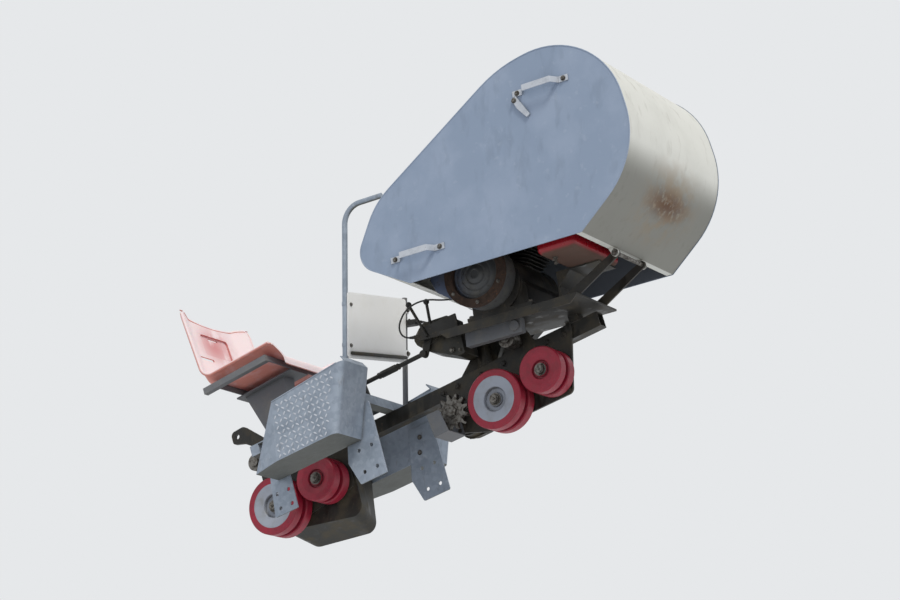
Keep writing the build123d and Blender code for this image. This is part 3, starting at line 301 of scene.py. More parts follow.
# %% Grain, stains and the last step
def grain(coat, size_mm, depth_mm, stretch=(1, 1, 1)):
    """Raises and sinks the surface by depth_mm over about size_mm."""
    drawn = add(coat, "Mapping", {"Vector": coat.place, "Scale": stretch})
    cloud = {"Vector": drawn, "Scale": 1 / (size_mm * MM), "Detail": 2.0}
    height = add(coat, "TexNoise", cloud).outputs["Fac"]
    swell = {"Height": height, "Normal": coat.normal, "Distance": depth_mm * MM, "Strength": 1.0}
    coat.normal = add(coat, "Bump", swell)


def stain(coat, middle, reach_mm, squeeze=(1, 1, 1)):
    """A mask that is 1 at one place on the machine and fades to 0 at the reach."""
    off = add(coat, "VectorMath", {0: coat.place, 1: middle}, operation="SUBTRACT")
    off = add(coat, "VectorMath", {0: off, 1: squeeze}, operation="MULTIPLY")
    far = add(coat, "VectorMath", {0: off}, operation="LENGTH").outputs["Value"]
    cut = {"Value": far, "From Min": reach_mm * MM, "From Max": 0.0}
    return add(coat, "MapRange", cut, interpolation_type="SMOOTHSTEP")


def where_both(coat, one, other):
    """A mask that is 1 where two masks are."""
    return add(coat, "Math", {0: one, 1: other}, operation="MULTIPLY")


def dry(coat, **sockets):
    """Sets the coat's colour, roughness and surface direction on a Principled shader, and returns the material."""
    links = {"Base Color": coat.colour, "Roughness": coat.roughness, "Normal": coat.normal}
    links.update({name.replace("_", " "): value for name, value in sockets.items()})
    shader = add(coat, "BsdfPrincipled", links)
    add(coat, "OutputMaterial", {"Surface": shader})
    print("finish:", coat.material.name, "with", len(coat.material.node_tree.nodes), "nodes")
    return coat.material


FINISHES = {}

# %% [markdown]
# ### Galvanised steel
#
# The foot trays, the cross tubes and the plates beside them were dipped in molten zinc. Zinc freezes in flat crystals,
# called spangle, about 16 mm wide, each with its own tone. Years outdoors turn it dull and bluish, with white bloom.
# Voronoi cells suit them, because each cell gets one random value. The handles and the latch were plated instead, in a
# thin even layer with no crystals, and hands keep them bright. Their finish is also made lighter as a painted
# highlight, and the tray's tread lenses share it.

# %% Galvanised steel
SPANGLE = 16.0
zinc = Coat("weathered galvanised steel", "#929dab", 0.52)
crystals = add(zinc, "TexVoronoi", {"Vector": zinc.place, "Scale": 1 / (SPANGLE * MM)})
tone = add(zinc, "SeparateColor", {0: crystals.outputs["Color"]})
cover(zinc, tone, 0.30, "#bac4d2", 0.42)
cover(zinc, patches(zinc, 90, 0.45, 0.75), 0.50, "#76818f", 0.62)
cover(zinc, patches(zinc, 30, 0.58, 0.75, 6.0), 0.35, "#ccd2d9", 0.75)  # white bloom
cover(zinc, patches(zinc, 22, 0.60, 0.74, 6.0, runs=0.25), 0.35, "#6d675c", 0.80)  # run marks
cover(zinc, facing(zinc, (0, 0, -1), 0.55, 0.95), 0.75, "#56523f", 0.85)  # painted shade on faces that look down, tinted brown like light thrown up from the ground
cover(zinc, corner_dirt(zinc), 0.70, "#4b4a45", 0.80)
cover(zinc, rubbed_edges(zinc), 0.50, "#c3cad2", 0.40)
grain(zinc, 3, 0.06)
FINISHES["galvanised"] = dry(zinc, Metallic=0.35)

# %% Bright zinc plate, lightened as a painted highlight
plated = Coat("bright zinc plate with painted highlight", "#c9ced6", 0.38, edge_mm=0.8)
cover(plated, patches(plated, 25, 0.45, 0.70, 5.0), 0.45, "#9aa1ab", 0.50)
cover(plated, patches(plated, 8, 0.62, 0.74, 6.0), 0.40, "#7b6f60", 0.80)
cover(plated, corner_dirt(plated, 12), 0.60, "#55534e", 0.80)
grain(plated, 2, 0.04)
POLISH_AND_HIGHLIGHT = dry(plated, Metallic=0.45)
# the handles and the latch get the plated finish, lightened as a painted highlight
BRIGHT_NODES = {"hood_handles": POLISH_AND_HIGHLIGHT, "hood_latch": POLISH_AND_HIGHLIGHT}

# %% [markdown]
# ### Painted hood sheet
#
# The hood is thin steel sheet. Its two sides carry a grey-blue paint that has gone dull, and the sheet that wraps
# over them was once cream. Thin sheet is never flat: it bulges by a millimetre over a hand's length, which shows in
# its gloss. Rain leaves runs, use leaves scuffs, and where water stands rust comes through the paint.

# %% Hood side paint
INNER_Y = 0.3778  # the sheet's inner face, from the machine's middle
blue = Coat("dull grey-blue sheet paint", "#8f9fb6", 0.46)
cover(blue, patches(blue, 160, 0.40, 0.70), 0.45, "#a3b1c7", 0.52)
cover(blue, patches(blue, 45, 0.52, 0.72, 6.0, runs=0.35), 0.30, "#788699", 0.60)
cover(blue, patches(blue, 3, 0.72, 0.80), 0.30, "#b9c3d2", 0.50)  # chalky flecks
cover(blue, patches(blue, 30, 0.60, 0.72, 6.0), 0.22, "#b0bccd", 0.50)  # scuffs
cover(blue, patches(blue, 9, 0.72, 0.80, 6.0), 0.60, "#6b5645", 0.85)
cover(blue, corner_dirt(blue, 18), 0.50, "#565c66", 0.75)
inside = add(blue, "SeparateXYZ", {0: blue.place}).outputs["Y"]
inside = add(blue, "Math", {0: inside}, operation="ABSOLUTE")
inside = {"Value": inside, "From Min": INNER_Y + MM, "From Max": INNER_Y}
inside = add(blue, "MapRange", inside)
cover(blue, inside, 0.70, "#4d4b46", 0.80)  # oil mist and dust on the inner face
cover(blue, rubbed_edges(blue), 0.55, "#d0d6dd", 0.40)
grain(blue, 220, 1.2)
grain(blue, 2.5, 0.03)
FINISHES["hood_side_paint"] = dry(blue)

# %% Hood wrap paint
RUST_AT = (0.990, 0.030, 0.285)  # the stain on the uphill face
cream = Coat("weathered cream sheet paint", "#e0e0d9", 0.50)
cover(cream, patches(cream, 180, 0.42, 0.72), 0.40, "#cdcdc5", 0.60)
cover(cream, patches(cream, 35, 0.55, 0.75, 6.0, runs=0.3), 0.40, "#aaa79b", 0.70)
cover(cream, facing(cream, (0.48, 0, -0.88), 0.74, 0.96), 0.78, "#6a685f", 0.75)  # painted shade: the wrap's faces that look down and downhill are darker
cover(cream, patches(cream, 5, 0.70, 0.78, 5.0), 0.50, "#8f7a62", 0.80)
rust = where_both(cream, stain(cream, RUST_AT, 230, (1.0, 0.75, 1.0)), patches(cream, 60, 0.36, 0.62, 7.0))
cover(cream, rust, 0.60, "#a08562", 0.75)
rust = where_both(cream, stain(cream, RUST_AT, 130, (1.4, 0.55, 1.6)), patches(cream, 22, 0.30, 0.52, 7.0))
cover(cream, rust, 0.85, "#65422b", 0.85)
cover(cream, corner_dirt(cream, 20), 0.50, "#77715f", 0.80)
cover(cream, rubbed_edges(cream), 0.40, "#8a735c", 0.70)
grain(cream, 240, 1.4)
grain(cream, 2.5, 0.03)
FINISHES["hood_wrap_paint"] = dry(cream)

# %% [markdown]
# ### Red polyurethane
#
# The wheels are cast polyurethane on steel hubs. It is a smooth, slightly soft plastic that lets light in a little
# way, so its shadows stay red. The running face is polished and scuffed by use, and dust sits on the sides.

# %% Red polyurethane
urethane = Coat("scuffed red polyurethane", "#981b33", 0.42)
cover(urethane, patches(urethane, 26, 0.48, 0.70, 5.0), 0.45, "#741b2d", 0.50)
cover(urethane, patches(urethane, 7, 0.60, 0.72, 6.0), 0.35, "#ad5362", 0.60)
cover(urethane, patches(urethane, 60, 0.46, 0.70), 0.30, "#6d3a3a", 0.75)  # dust
cover(urethane, corner_dirt(urethane, 14), 0.60, "#3a211f", 0.80)
cover(urethane, rubbed_edges(urethane), 0.35, "#c96c78", 0.50)
grain(urethane, 1.6, 0.04)
FINISHES["wheel_tyre"] = dry(urethane, IOR=1.5, Subsurface_Weight=0.08, Subsurface_Scale=0.004)

# %% [markdown]
# ### Enamels
#
# The hubs, the leg shield, the fuel tank and the grey frame pieces are enamelled steel. They share one recipe: a
# glossy colour, a haze of dust, painted shade underneath, chipped edges, and rust freckles that grow with neglect.


# %% Enamelled steel
def enamel(name, colour, dust, chip, roughness=0.35, neglect=0.4, hazy=0.45, under_shade=0.5):
    coat = Coat(name, colour, roughness)
    cover(coat, patches(coat, 70, 0.45, 0.75, 5.0), hazy, dust, 0.65)
    cover(coat, patches(coat, 30, 0.58, 0.76, 6.0, runs=0.3), 0.6 * hazy, dust, 0.75)
    cover(coat, patches(coat, 6, 0.72 - 0.1 * neglect, 0.80 - 0.1 * neglect, 6.0), neglect, "#6b4a34", 0.85)
    cover(coat, corner_dirt(coat), 0.65, "#3f3b35", 0.85)
    cover(coat, facing(coat, (0, 0, -1), 0.45, 0.90), under_shade, "#4a3f33", 0.85)  # painted shade on faces that look down, tinted brown
    cover(coat, where_both(coat, rubbed_edges(coat), patches(coat, 9, 0.40, 0.55)), 0.80, chip, 0.70)
    grain(coat, 2.0, 0.03)
    return dry(coat)


FINISHES["frame_grey"] = enamel("worn grey enamel", "#6c6e72", "#8a877f", "#35322f", 0.5, neglect=0.7, under_shade=0.2)
FINISHES["hub_paint"] = enamel("light grey hub enamel", "#9ea4b0", "#7f7d78", "#45423f", 0.4, hazy=0.55)
FINISHES["shield_paint"] = enamel("white enamel", "#ffffff", "#f1f0ec", "#9a958b", 0.38, 0.10, 0.30)
FINISHES["tank_paint"] = enamel("red tank enamel", "#a01724", "#6e2f2c", "#541e1b", 0.25, neglect=0.3, under_shade=0.92)

# %% [markdown]
# ### Oily cast iron and dark chassis paint
#
# The housings and plates under the machine are dark with old oil. Dust sticks to the oil and dries to a brown felt,
# most of all on the faces that look up, while fresh oil keeps runs on the lower sides glossy.


# %% Oily iron
def oily_iron(name, colour, dust="#5c5341", grain_depth=0.18, amount=0.55):
    coat = Coat(name, colour, 0.5)
    cover(coat, patches(coat, 80, 0.42, 0.68, 6.0), amount, dust, 0.85)
    cover(coat, patches(coat, 14, 0.60, 0.74, 6.0), 0.6 * amount, "#7a6a52", 0.90)
    cover(coat, facing(coat, (0.3, 0, 1), 0.5, 1.0), 0.6 * amount, dust, 0.90)
    cover(coat, patches(coat, 50, 0.56, 0.66, 3.0, runs=0.3), 0.70, "#15130f", 0.22)
    cover(coat, rubbed_edges(coat), 0.40, "#6f6a62", 0.45)
    grain(coat, 2.2, grain_depth)
    return dry(coat, Metallic=0.15)


FINISHES["chassis_paint"] = oily_iron("dark chassis paint", "#2c2b28", grain_depth=0.08, amount=0.45)
FINISHES["housing_iron"] = oily_iron("oily cast iron", "#25241f")
FINISHES["engine_dark"] = oily_iron("black engine paint", "#1b1a18", dust="#463f33", grain_depth=0.1)

# %% [markdown]
# ### Bare metal
#
# Axles, nuts and screws are turned steel with a film of grease. The blower housing on the engine is die-cast
# aluminium: its duct still has blue-grey paint, and the drum beside it is brown with baked dust and painted darker as
# shade under the hood. The ring round its mouth and the muffler are bare steel that has rusted dark, and their rust
# colour is painted darker still as shade under the hood, with a little fresh orange rust.

# %% Turned steel
steel = Coat("greasy turned steel", "#7d7a75", 0.42, edge_mm=0.8)
cover(steel, patches(steel, 12, 0.40, 0.66, 5.0), 0.80, "#3b342c", 0.65)
cover(steel, corner_dirt(steel, 12), 0.70, "#241f19", 0.70)
grain(steel, 1.2, 0.02, (0.2, 6, 0.2))  # turning marks run round the bar
FINISHES["bright_steel"] = dry(steel, Metallic=0.9)

# %% Cast aluminium
DUCT_END = 0.150  # the paint has gone uphill of here, where the engine is hot, and the bare drum there is painted darker as shade
cast = Coat("die-cast aluminium", "#5d6880", 0.50)
along_duct = add(cast, "SeparateXYZ", {0: cast.place}).outputs["X"]
drum_bare_and_shaded = {"Value": along_duct, "From Min": DUCT_END, "From Max": DUCT_END + 0.09}
drum_bare_and_shaded = add(cast, "MapRange", drum_bare_and_shaded, interpolation_type="SMOOTHSTEP")
# painted shade: the drum is darkened as if in the hood's shadow
cover(cast, drum_bare_and_shaded, 0.85, "#4a4943", 0.60)
cover(cast, patches(cast, 60, 0.42, 0.70, 5.0), 0.45, "#6e6a60", 0.70)
cover(cast, patches(cast, 18, 0.56, 0.72, 6.0), 0.55, "#3d372d", 0.80)
cover(cast, corner_dirt(cast), 0.70, "#2b2721", 0.85)
cover(cast, rubbed_edges(cast), 0.50, "#a7a9a6", 0.40)
grain(cast, 1.8, 0.12)
FINISHES["shroud_alloy"] = dry(cast, Metallic=0.3)

# %% Rusted steel
# rust, with colours painted darker as shade under the hood
rusty = Coat("rusted steel in painted shade", "#3a2a20", 0.85)
cover(rusty, patches(rusty, 20, 0.42, 0.62, 7.0), 0.80, "#2b1e16", 0.90)
cover(rusty, patches(rusty, 7, 0.58, 0.72, 6.0), 0.55, "#8a5a36", 0.90)
grain(rusty, 3.0, 0.30)
FINISHES["rusty_iron"] = dry(rusty)

# %% [markdown]
# ### Plastic and rubber
#
# The seat is a moulded polypropylene shell that was red once, and the sun has bleached it to a chalky pink. Its base
# colour is the orange-pink of the shaded underside, and faces that look up are painted almost white, as painted light.
# The backrest's pressed panel is painted redder as painted shade, and the hollows are redder. Moulded plastic has a
# fine leather-like grain about a millimetre wide. The cables' sheaths and the clamp are black PVC and rubber with dust
# on them.

# %% Faded polypropylene
plastic = Coat("faded polypropylene, painted lit and shaded", "#d98a7c", 0.62)
# painted light: faces that look up and uphill get an almost white lit colour
cover(plastic, facing(plastic, (0.45, 0, 1), -0.10, 0.40), 0.94, "#f7e8ea", 0.72)
cover(plastic, patches(plastic, 60, 0.45, 0.70, 5.0), 0.25, "#efdcdf", 0.78)
panel = stain(plastic, (-1.085, 0.0, 0.620), 200, (0.6, 1.1, 1.5))
cover(plastic, where_both(plastic, panel, patches(plastic, 70, 0.25, 0.50)), 0.85, "#cf7f80", 0.65)  # painted shade on the backrest's pressed panel
cover(plastic, corner_dirt(plastic, 30), 0.60, "#b14d54", 0.60)
cover(plastic, patches(plastic, 9, 0.66, 0.76, 6.0), 0.30, "#8f6a62", 0.85)
grain(plastic, 1.3, 0.05)
FINISHES["seat_plastic"] = dry(plastic, IOR=1.49, Subsurface_Weight=0.05, Subsurface_Scale=0.003)

# %% Dusty black rubber
rubber = Coat("dusty black rubber", "#1e1e20", 0.60, edge_mm=0.8)
cover(rubber, patches(rubber, 30, 0.45, 0.70, 5.0), 0.50, "#57534c", 0.85)
cover(rubber, corner_dirt(rubber, 8), 0.50, "#0f0f10", 0.80)
grain(rubber, 1.0, 0.04)
FINISHES["black_rubber"] = dry(rubber, IOR=1.52)

# %% [markdown]
# ## Dress the CAD pieces
#
# Each CAD piece has a slot name in the record, and FINISHES has a material for each slot, so one loop does it. The
# handles and the latch have the plated finish, with its painted highlight.

# %% Put the finishes on
for row in frame["record"]["subparts"]:
    piece = frame["nodes"][row["node"]]
    piece.data.materials.clear()
    piece.data.materials.append(BRIGHT_NODES.get(row["node"], FINISHES[row["material_slot"]]))

# %% [markdown]
# ## The control cables
#
# Three cables run in rubber sheaths: two from the clamp on the far post to the clutch housing, and one from the
# levers to the throttle. A cable is stiff enough to take one smooth curve. A NURBS curve of order 3 gives that from a
# few control points, and a bevel gives it thickness. The order is set after the points, because Blender limits it to
# the number of points that exist.

# %% Lay the cables
CABLE_R = 0.0035
cable_rows = {
    # node: length in metres, then the route from the first fitting to the last
    "clutch_cable": (0.302, [
        (-0.263914, 0.217, 0.409063), (-0.225662, 0.217, 0.397368), (-0.184, 0.192, 0.332),
        (-0.146, 0.140, 0.278), (-0.116, 0.096, 0.250), (-0.098, 0.062, 0.240),
    ]),
    "brake_cable": (0.328, [
        (-0.263914, 0.231, 0.409063), (-0.219924, 0.231, 0.395614), (-0.196, 0.216, 0.338),
        (-0.176, 0.170, 0.256), (-0.150, 0.120, 0.214), (-0.134, 0.066, 0.206),
    ]),
    "throttle_cable": (0.458, [
        (-0.134, -0.096, 0.213), (-0.176, -0.100, 0.224), (-0.186, -0.110, 0.270),
        (-0.146, -0.120, 0.312), (-0.090, -0.126, 0.330), (-0.020, -0.130, 0.320),
        (0.044, -0.130, 0.286), (0.104, -0.129, 0.266), (0.156, -0.128, 0.262),
    ]),
}
cable_lines = {}
for node, (length, route) in cable_rows.items():
    curve = bpy.data.curves.new(node + "_sheath", "CURVE")
    curve.dimensions = "3D"
    curve.resolution_u = 16
    spline = curve.splines.new("NURBS")
    spline.points.add(len(route) - 1)
    for point, place in zip(spline.points, route):
        point.co = (*place, 1.0)
    spline.order_u = 3
    spline.use_endpoint_u = True
    sheath = new_object(node + "_sheath", curve)
    bare = bpy.data.meshes.new_from_object(sheath)
    line = [vertex.co.copy() for vertex in bare.vertices]
    curve.bevel_depth = CABLE_R
    curve.bevel_resolution = 4
    curve.use_fill_caps = True
    curve.materials.append(FINISHES["black_rubber"])
    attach(sheath, "frame")
    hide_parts(node)
    cable_lines[node] = (sheath, length, line)
    measured = sum((b - a).length for a, b in zip(line, line[1:]))
    print(node, "is", round(measured, 3), "m long on its curve, and", length, "m in the model")

# %% [markdown]
# ## Tools for small parts
#
# Bolts, hems and welds are rings of points joined by faces. A turned part has its rings along a straight axis, and a
# bar has them along any line. A real bolt head is a hexagon with a turned chamfer, so it is a turned part with six
# sides. All of these are drawn in millimetres and shrunk to metres when they are placed.


# %% Rings of points
def bridge(mesh, rings, closed=False):
    """Joins rings of points with faces. An open row of rings gets a cap at each end."""
    pairs = list(zip(rings, rings[1:])) + ([(rings[-1], rings[0])] if closed else [])
    for one, other in pairs:
        for k in range(len(one)):
            mesh.faces.new((one[k - 1], one[k], other[k], other[k - 1]))
    if not closed:
        mesh.faces.new(rings[0][::-1])
        mesh.faces.new(rings[-1])


def ring(mesh, centre, one, other, sides, start=0.0):
    """Adds a ring of points. one and other are its half widths, as vectors from its centre."""
    angles = [2 * pi * (k + start) / sides for k in range(sides)]
    return [mesh.verts.new(centre + one * cos(t) + other * sin(t)) for t in angles]


def turned(mesh, at, along, profile, sides=20):
    """Adds a turned solid. profile is (radius, height) rows, measured from the point at, along a direction."""
    spin = Vector(along).to_track_quat("Z", "Y")
    one, other, axis = (spin @ Vector(way) for way in ((1, 0, 0), (0, 1, 0), (0, 0, 1)))
    bridge(mesh, [ring(mesh, Vector(at) + axis * height, one * r, other * r, sides) for r, height in profile])


print("a turned part with 20 sides has", 20 * 2, "triangles between two rings")


# %% Bars along a line
def bar(mesh, line, half, up, sides=8, closed=False):
    """Adds a bar of oval section along a line. half is its (half width, half height), or a list of them."""
    line = [Vector(point) for point in line]
    rings = []
    for i, point in enumerate(line):
        ahead = line[(i + 1) % len(line)] if closed or i + 1 < len(line) else point
        behind = line[i - 1] if closed or i else point
        along = (ahead - behind).normalized()
        side = along.cross(Vector(up)).normalized()
        top = side.cross(along)
        wide, tall = half[i] if isinstance(half, list) else half
        rings.append(ring(mesh, point, side * wide, top * tall, sides, 0.5))
    bridge(mesh, rings, closed)


def bolt(mesh, at, along, across=13.0):
    """Adds a washer and a hexagon head. across is the spanner size."""
    turned(mesh, at, along, [(0.80 * across, -0.5), (0.80 * across, 1.4), (0.74 * across, 1.9)])
    corner = across / sqrt(3)
    turned(mesh, at, along, [(corner, 1.0), (corner, 0.50 * across), (0.82 * corner, 0.62 * across)], 6)


print("an M8 bolt's head is 13 mm across and", round(0.62 * 13, 1), "mm tall with its washer")

# %% [markdown]
# A weld bead isn't a smooth bar. Its puddle freezes in ripples, one about every 3 mm, and its width wanders. Random
# ring sizes along a thin bar give both, and the seed keeps them the same in each run.


# %% Welds, and a way to place a part
def weld(mesh, start, end, size=3.0, up=(0, 1, 0)):
    """Adds a weld bead between two points."""
    start, end = Vector(start), Vector(end)
    count = max(3, int((end - start).length / 3.2))
    line = [start.lerp(end, k / count) for k in range(count + 1)]
    half = [(size * f, size * f) for f in (dice.uniform(0.80, 1.15) for _ in line)]
    bar(mesh, line, half, up, sides=6)


def weld_round(mesh, x, y, z):
    """Adds a weld bead round a rectangle that lies level. x and y are (low, high) pairs."""
    for side in y:
        weld(mesh, (x[0], side, z), (x[1], side, z))
    for side in x:
        weld(mesh, (side, y[0], z), (side, y[1], z), up=(1, 0, 0))


def put(name, mesh, slot="bright_steel", body="frame"):
    """Turns a mesh in millimetres into a piece of the model that rides on a body."""
    bmesh.ops.recalc_face_normals(mesh, faces=mesh.faces)
    bmesh.ops.scale(mesh, vec=(MM, MM, MM), verts=mesh.verts)
    data = bpy.data.meshes.new(name)
    mesh.to_mesh(data)
    mesh.free()
    data.shade_smooth()
    data.set_sharp_from_angle(angle=radians(32))
    data.materials.append(FINISHES[slot])
    thing = new_object(name, data)
    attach(thing, body)
    triangles = sum(len(polygon.vertices) - 2 for polygon in data.polygons)
    print(f"{name}: {triangles} triangles, rides on {body}")
    return thing


print("welds ripple every 3.2 mm")

# %% [markdown]
# ### The boots on the cables
#
# A cable that bends at the mouth of its fitting would soon break there, so a tapered rubber boot spreads the bend.
# Each boot follows the end of its cable's own line. Grooves let the real one flex.


# %% Cable boots
BOOT_LENGTH = 24.0


def boot(name, line):
    """A tapered, grooved sleeve along the start of a line of points, which are in metres."""
    mesh = bmesh.new()
    walked, reached = [line[0] / MM], 0.0
    for a, b in zip(line, line[1:]):
        reached += (b - a).length / MM
        if reached > BOOT_LENGTH:
            break
        walked.append(b / MM)
    count = len(walked) - 1
    taper = [7.4 - 2.6 * i / count - (0.7 if i % 2 else 0.0) for i in range(count + 1)]
    bar(mesh, walked, [(r, r) for r in taper], (walked[1] - walked[0]).orthogonal(), sides=16)
    return put(name, mesh, "black_rubber")


for node, (sheath, length, line) in cable_lines.items():
    boots = [boot(node + "_boot_start", line), boot(node + "_boot_end", line[::-1])]

# %% [markdown]
# ## Small parts of the hood
#
# The hood's sides and its wrap meet in a folded seam, a thin light line round each side. It follows the side's
# outline, whose corners are large arcs. Complex numbers make an arc short to write: a turn is one multiplication.


# %% An outline with round corners
def rounded(corners, radii):
    """The points of a closed outline whose corners are arcs, with a point about every 5 degrees."""
    spots = [complex(*corner) for corner in corners]
    points = []
    for before, here, after, radius in zip(spots[-1:] + spots[:-1], spots, spots[1:] + spots[:1], radii):
        back = (before - here) / abs(before - here)
        ahead = (after - here) / abs(after - here)
        half = abs(phase(ahead / back)) / 2
        centre = here + (back + ahead) / abs(back + ahead) * radius / sin(half)
        first = here + back * radius / tan(half) - centre
        last = here + ahead * radius / tan(half) - centre
        turn = phase(last / first)
        count = max(1, ceil(abs(degrees(turn)) / 5.0))
        points += [centre + first * rect(1, turn * k / count) for k in range(count + 1)]
    return [(point.real, point.imag) for point in points]


BED_X, BED_Z = 58, 299  # the hood's lower downhill corner, where the engine bed's line starts
HOOD_CORNERS = [(BED_X, BED_Z), (-150, 472), (8, 667.2), (662, 930), (1112, 930), (1112, 343), (791, 167)]
hood_line = rounded(HOOD_CORNERS, [10, 85, 300, 500, 330, 350, 8])
print("the hood's outline has", len(hood_line), "points")

# %% The folded seams
SIDES = [(-1, "near"), (1, "far")]  # Y's sign, and the side's name
for side, name in SIDES:
    seam = bmesh.new()
    bar(seam, [(x, side * 379.6, z) for x, z in hood_line], (2.6, 2.2), (0, 1, 0), closed=True)
    put(f"hood_seam_{name}", seam, "hood_side_paint", "hood")

# %% [markdown]
# The hood's bottom edge slopes at 10.2 degrees to the model's X, and the engine, the tank and the handles are set out
# along it. One function turns a distance along that edge and a height over it into a point of the model.


# %% Points along the engine bed
BED_TILT = radians(10.2)
HINGE = (745, -22)  # along the bed and over it
BED_UP = (sin(BED_TILT), 0, cos(BED_TILT))
BED_DOWN = (-sin(BED_TILT), 0, -cos(BED_TILT))
NEAR, FAR = (0, -1, 0), (0, 1, 0)


def on_bed(along, height, y):
    """A point of the model in millimetres."""
    x = BED_X + along * cos(BED_TILT) + height * sin(BED_TILT)
    return Vector((x, y, BED_Z - along * sin(BED_TILT) + height * cos(BED_TILT)))


print("the hinge is at", [round(v, 1) for v in on_bed(*HINGE, 0)])

# %% Handle bolts, latch pivot and hinge pins
screws = bmesh.new()
for side, out in ((-1, NEAR), (1, FAR)):
    for along, height in ((48, 105), (659, 605)):
        for reach in (-100, 100):
            bolt(screws, on_bed(along + reach, height, side * 384), out)
bolt(screws, on_bed(545, 578, -390), NEAR)
put("hood_bolts", screws, body="hood")

pins = bmesh.new()
for side, out in ((-1, NEAR), (1, FAR)):
    turned(pins, on_bed(*HINGE, side * 118.5), out, [(14, 0), (14, 2.0), (13.3, 2.4)], 24)
    ends = [on_bed(HINGE[0], HINGE[1] + reach, side * 123.5) for reach in (-13, 0, 16)]
    bar(pins, ends, (1.6, 1.6), (0, 1, 0))
put("hinge_split_pins", pins)

# %% [markdown]
# ## The foot trays
#
# The trays are folded from tread plate, whose raised lenses keep a wet foot from slipping. Wear has polished them, and
# they are also made brighter than the plate between as a painted highlight on their tops. Each lens is about 18 mm
# long, 8 mm wide and 2 mm high, and neighbours lie at right angles. A bump texture wouldn't show on the tray's
# outline, so each one is a small dome.


# %% One lens and a field of them
PITCH = 22.0  # from one lens to the next


def lens(mesh, at, along, out):
    """Adds one raised lens of tread plate."""
    across = out.cross(along)
    rows = [(1.0, -0.4), (0.92, 0.9), (0.55, 1.9), (0.2, 2.2)]  # size, height
    bridge(mesh, [ring(mesh, at + out * h, along * (9.0 * f), across * (3.8 * f), 8) for f, h in rows])


def tread_field(mesh, start, along, rise, counts, keep):
    """Adds lenses over a flat field. keep says whether a point of the field has one."""
    along, rise = Vector(along).normalized(), Vector(rise).normalized()
    out = along.cross(rise)
    number = 0
    for i in range(counts[0]):
        for k in range(counts[1]):
            at = Vector(start) + along * (i * PITCH) + rise * (k * PITCH)
            if keep(at):
                lean = along + rise if (i + k) % 2 else along - rise
                lens(mesh, at, lean.normalized(), out)
                number += 1
    return number


print("a lens has", 3 * 8 * 2 + 2 * 6, "triangles")

# %% Tread plate on the trays
TOE_RISE = Vector((110, 0, 260)).normalized()
TOE_X, SOLE_Z = -405, -135  # the fold from floor to toe board
RIM_X, RIM_Z = -645, 98  # the upper corner over the heel
for side, name in SIDES:
    mesh = bmesh.new()

    def on_side(at):
        """Whether a point is on the flat of the tray's outer side, clear of its folds."""
        from_toe = (at.x - TOE_X) * TOE_RISE.z - (at.z - SOLE_Z) * TOE_RISE.x
        under_rim = at.z < RIM_Z + (at.x - RIM_X) * 0.0771 - 12
        return under_rim and from_toe < -36 and at.x > -682 + 0.193 * (at.z - SOLE_Z)

    def on_floor(at):
        """Whether a point is on the floor, clear of the outer side, which turns in towards the heel."""
        return abs(at.y) < min(408, 408 + 0.248 * (at.x + 690))

    first = (-690 if side < 0 else -300, side * 420, -122)
    sides = tread_field(mesh, first, (-side, 0, 0), (0, 0, 1), (20, 12), on_side)
    floors = tread_field(mesh, (-790, side * 328 - 74, -132), (1, 0, 0), (0, 1, 0), (18, 8), on_floor)
    toe_foot = Vector((TOE_X, side * 322 - 63, SOLE_Z)) + TOE_RISE * 26 - Vector((3.3, 0, 0))
    toes = tread_field(mesh, toe_foot, TOE_RISE, (0, 1, 0), (12, 7), lambda at: True)
    plate = put(f"tread_plate_{name}", mesh, "galvanised")
    # the lenses get the plated finish: worn bright, and lightened further as a painted highlight
    plate.data.materials[0] = POLISH_AND_HIGHLIGHT
    print(name, "tray lenses: outer side", sides, "floor", floors, "toe board", toes)

# %% [markdown]
# The tray's free edges are rolled over a wire, which makes them stiff and safe to the shin. Bolts hold the trays to
# the ends of the cross tubes, the hanger plates to the trays, and the seat's pedestal to its plate.

# %% Rolled edges of the trays
hem_rows = [
    # distance from the middle, two ends (x, z)
    (418.5, [(RIM_X, RIM_Z), (-325, 122.6)]),
    (237.5, [(RIM_X, RIM_Z), (-300, 124.5)]),
    (237.5, [(-809, -134), (RIM_X, RIM_Z)]),
]
for side, name in SIDES:
    hem = bmesh.new()
    for y, line in hem_rows:
        bar(hem, [(x, side * y, z) for x, z in line], (3.4, 3.4), (0, 1, 0), sides=12)
    lip_top = [(-311.5, side * 238, 150), (-311.5, side * 392, 150)]
    bar(hem, lip_top, (3.0, 3.0), (1, 0, 0), sides=12)
    put(f"tray_hems_{name}", hem, "galvanised")

# %% Bolts of the trays and hangers
screws = bmesh.new()
for side, out, inward in ((-1, NEAR, FAR), (1, FAR, NEAR)):
    for x, z in ((-600, 65), (-420, 65)):
        bolt(screws, (x, side * 239, z), out, 17)
    for x, z in ((-402, -45), (-420, -105), (-775, -118)):
        bolt(screws, (x, side * 239, z), out)
        bolt(screws, (x, side * 230, z), inward)
for x in (-918, -813):
    for y in (55, -55):
        bolt(screws, (x, y, 95), (0, 0, 1))
put("tray_bolts", screws)

# %% [markdown]
# ## The seat
#
# A moulded shell ends in a thick rolled rim, for stiffness and a soft edge. The rim follows the shell's edge: up one
# side, over the top with its dip, and down the other side. The shell's section is flat in the middle and rises to its
# two sides, so the rim comes forward at the corners of the backrest.

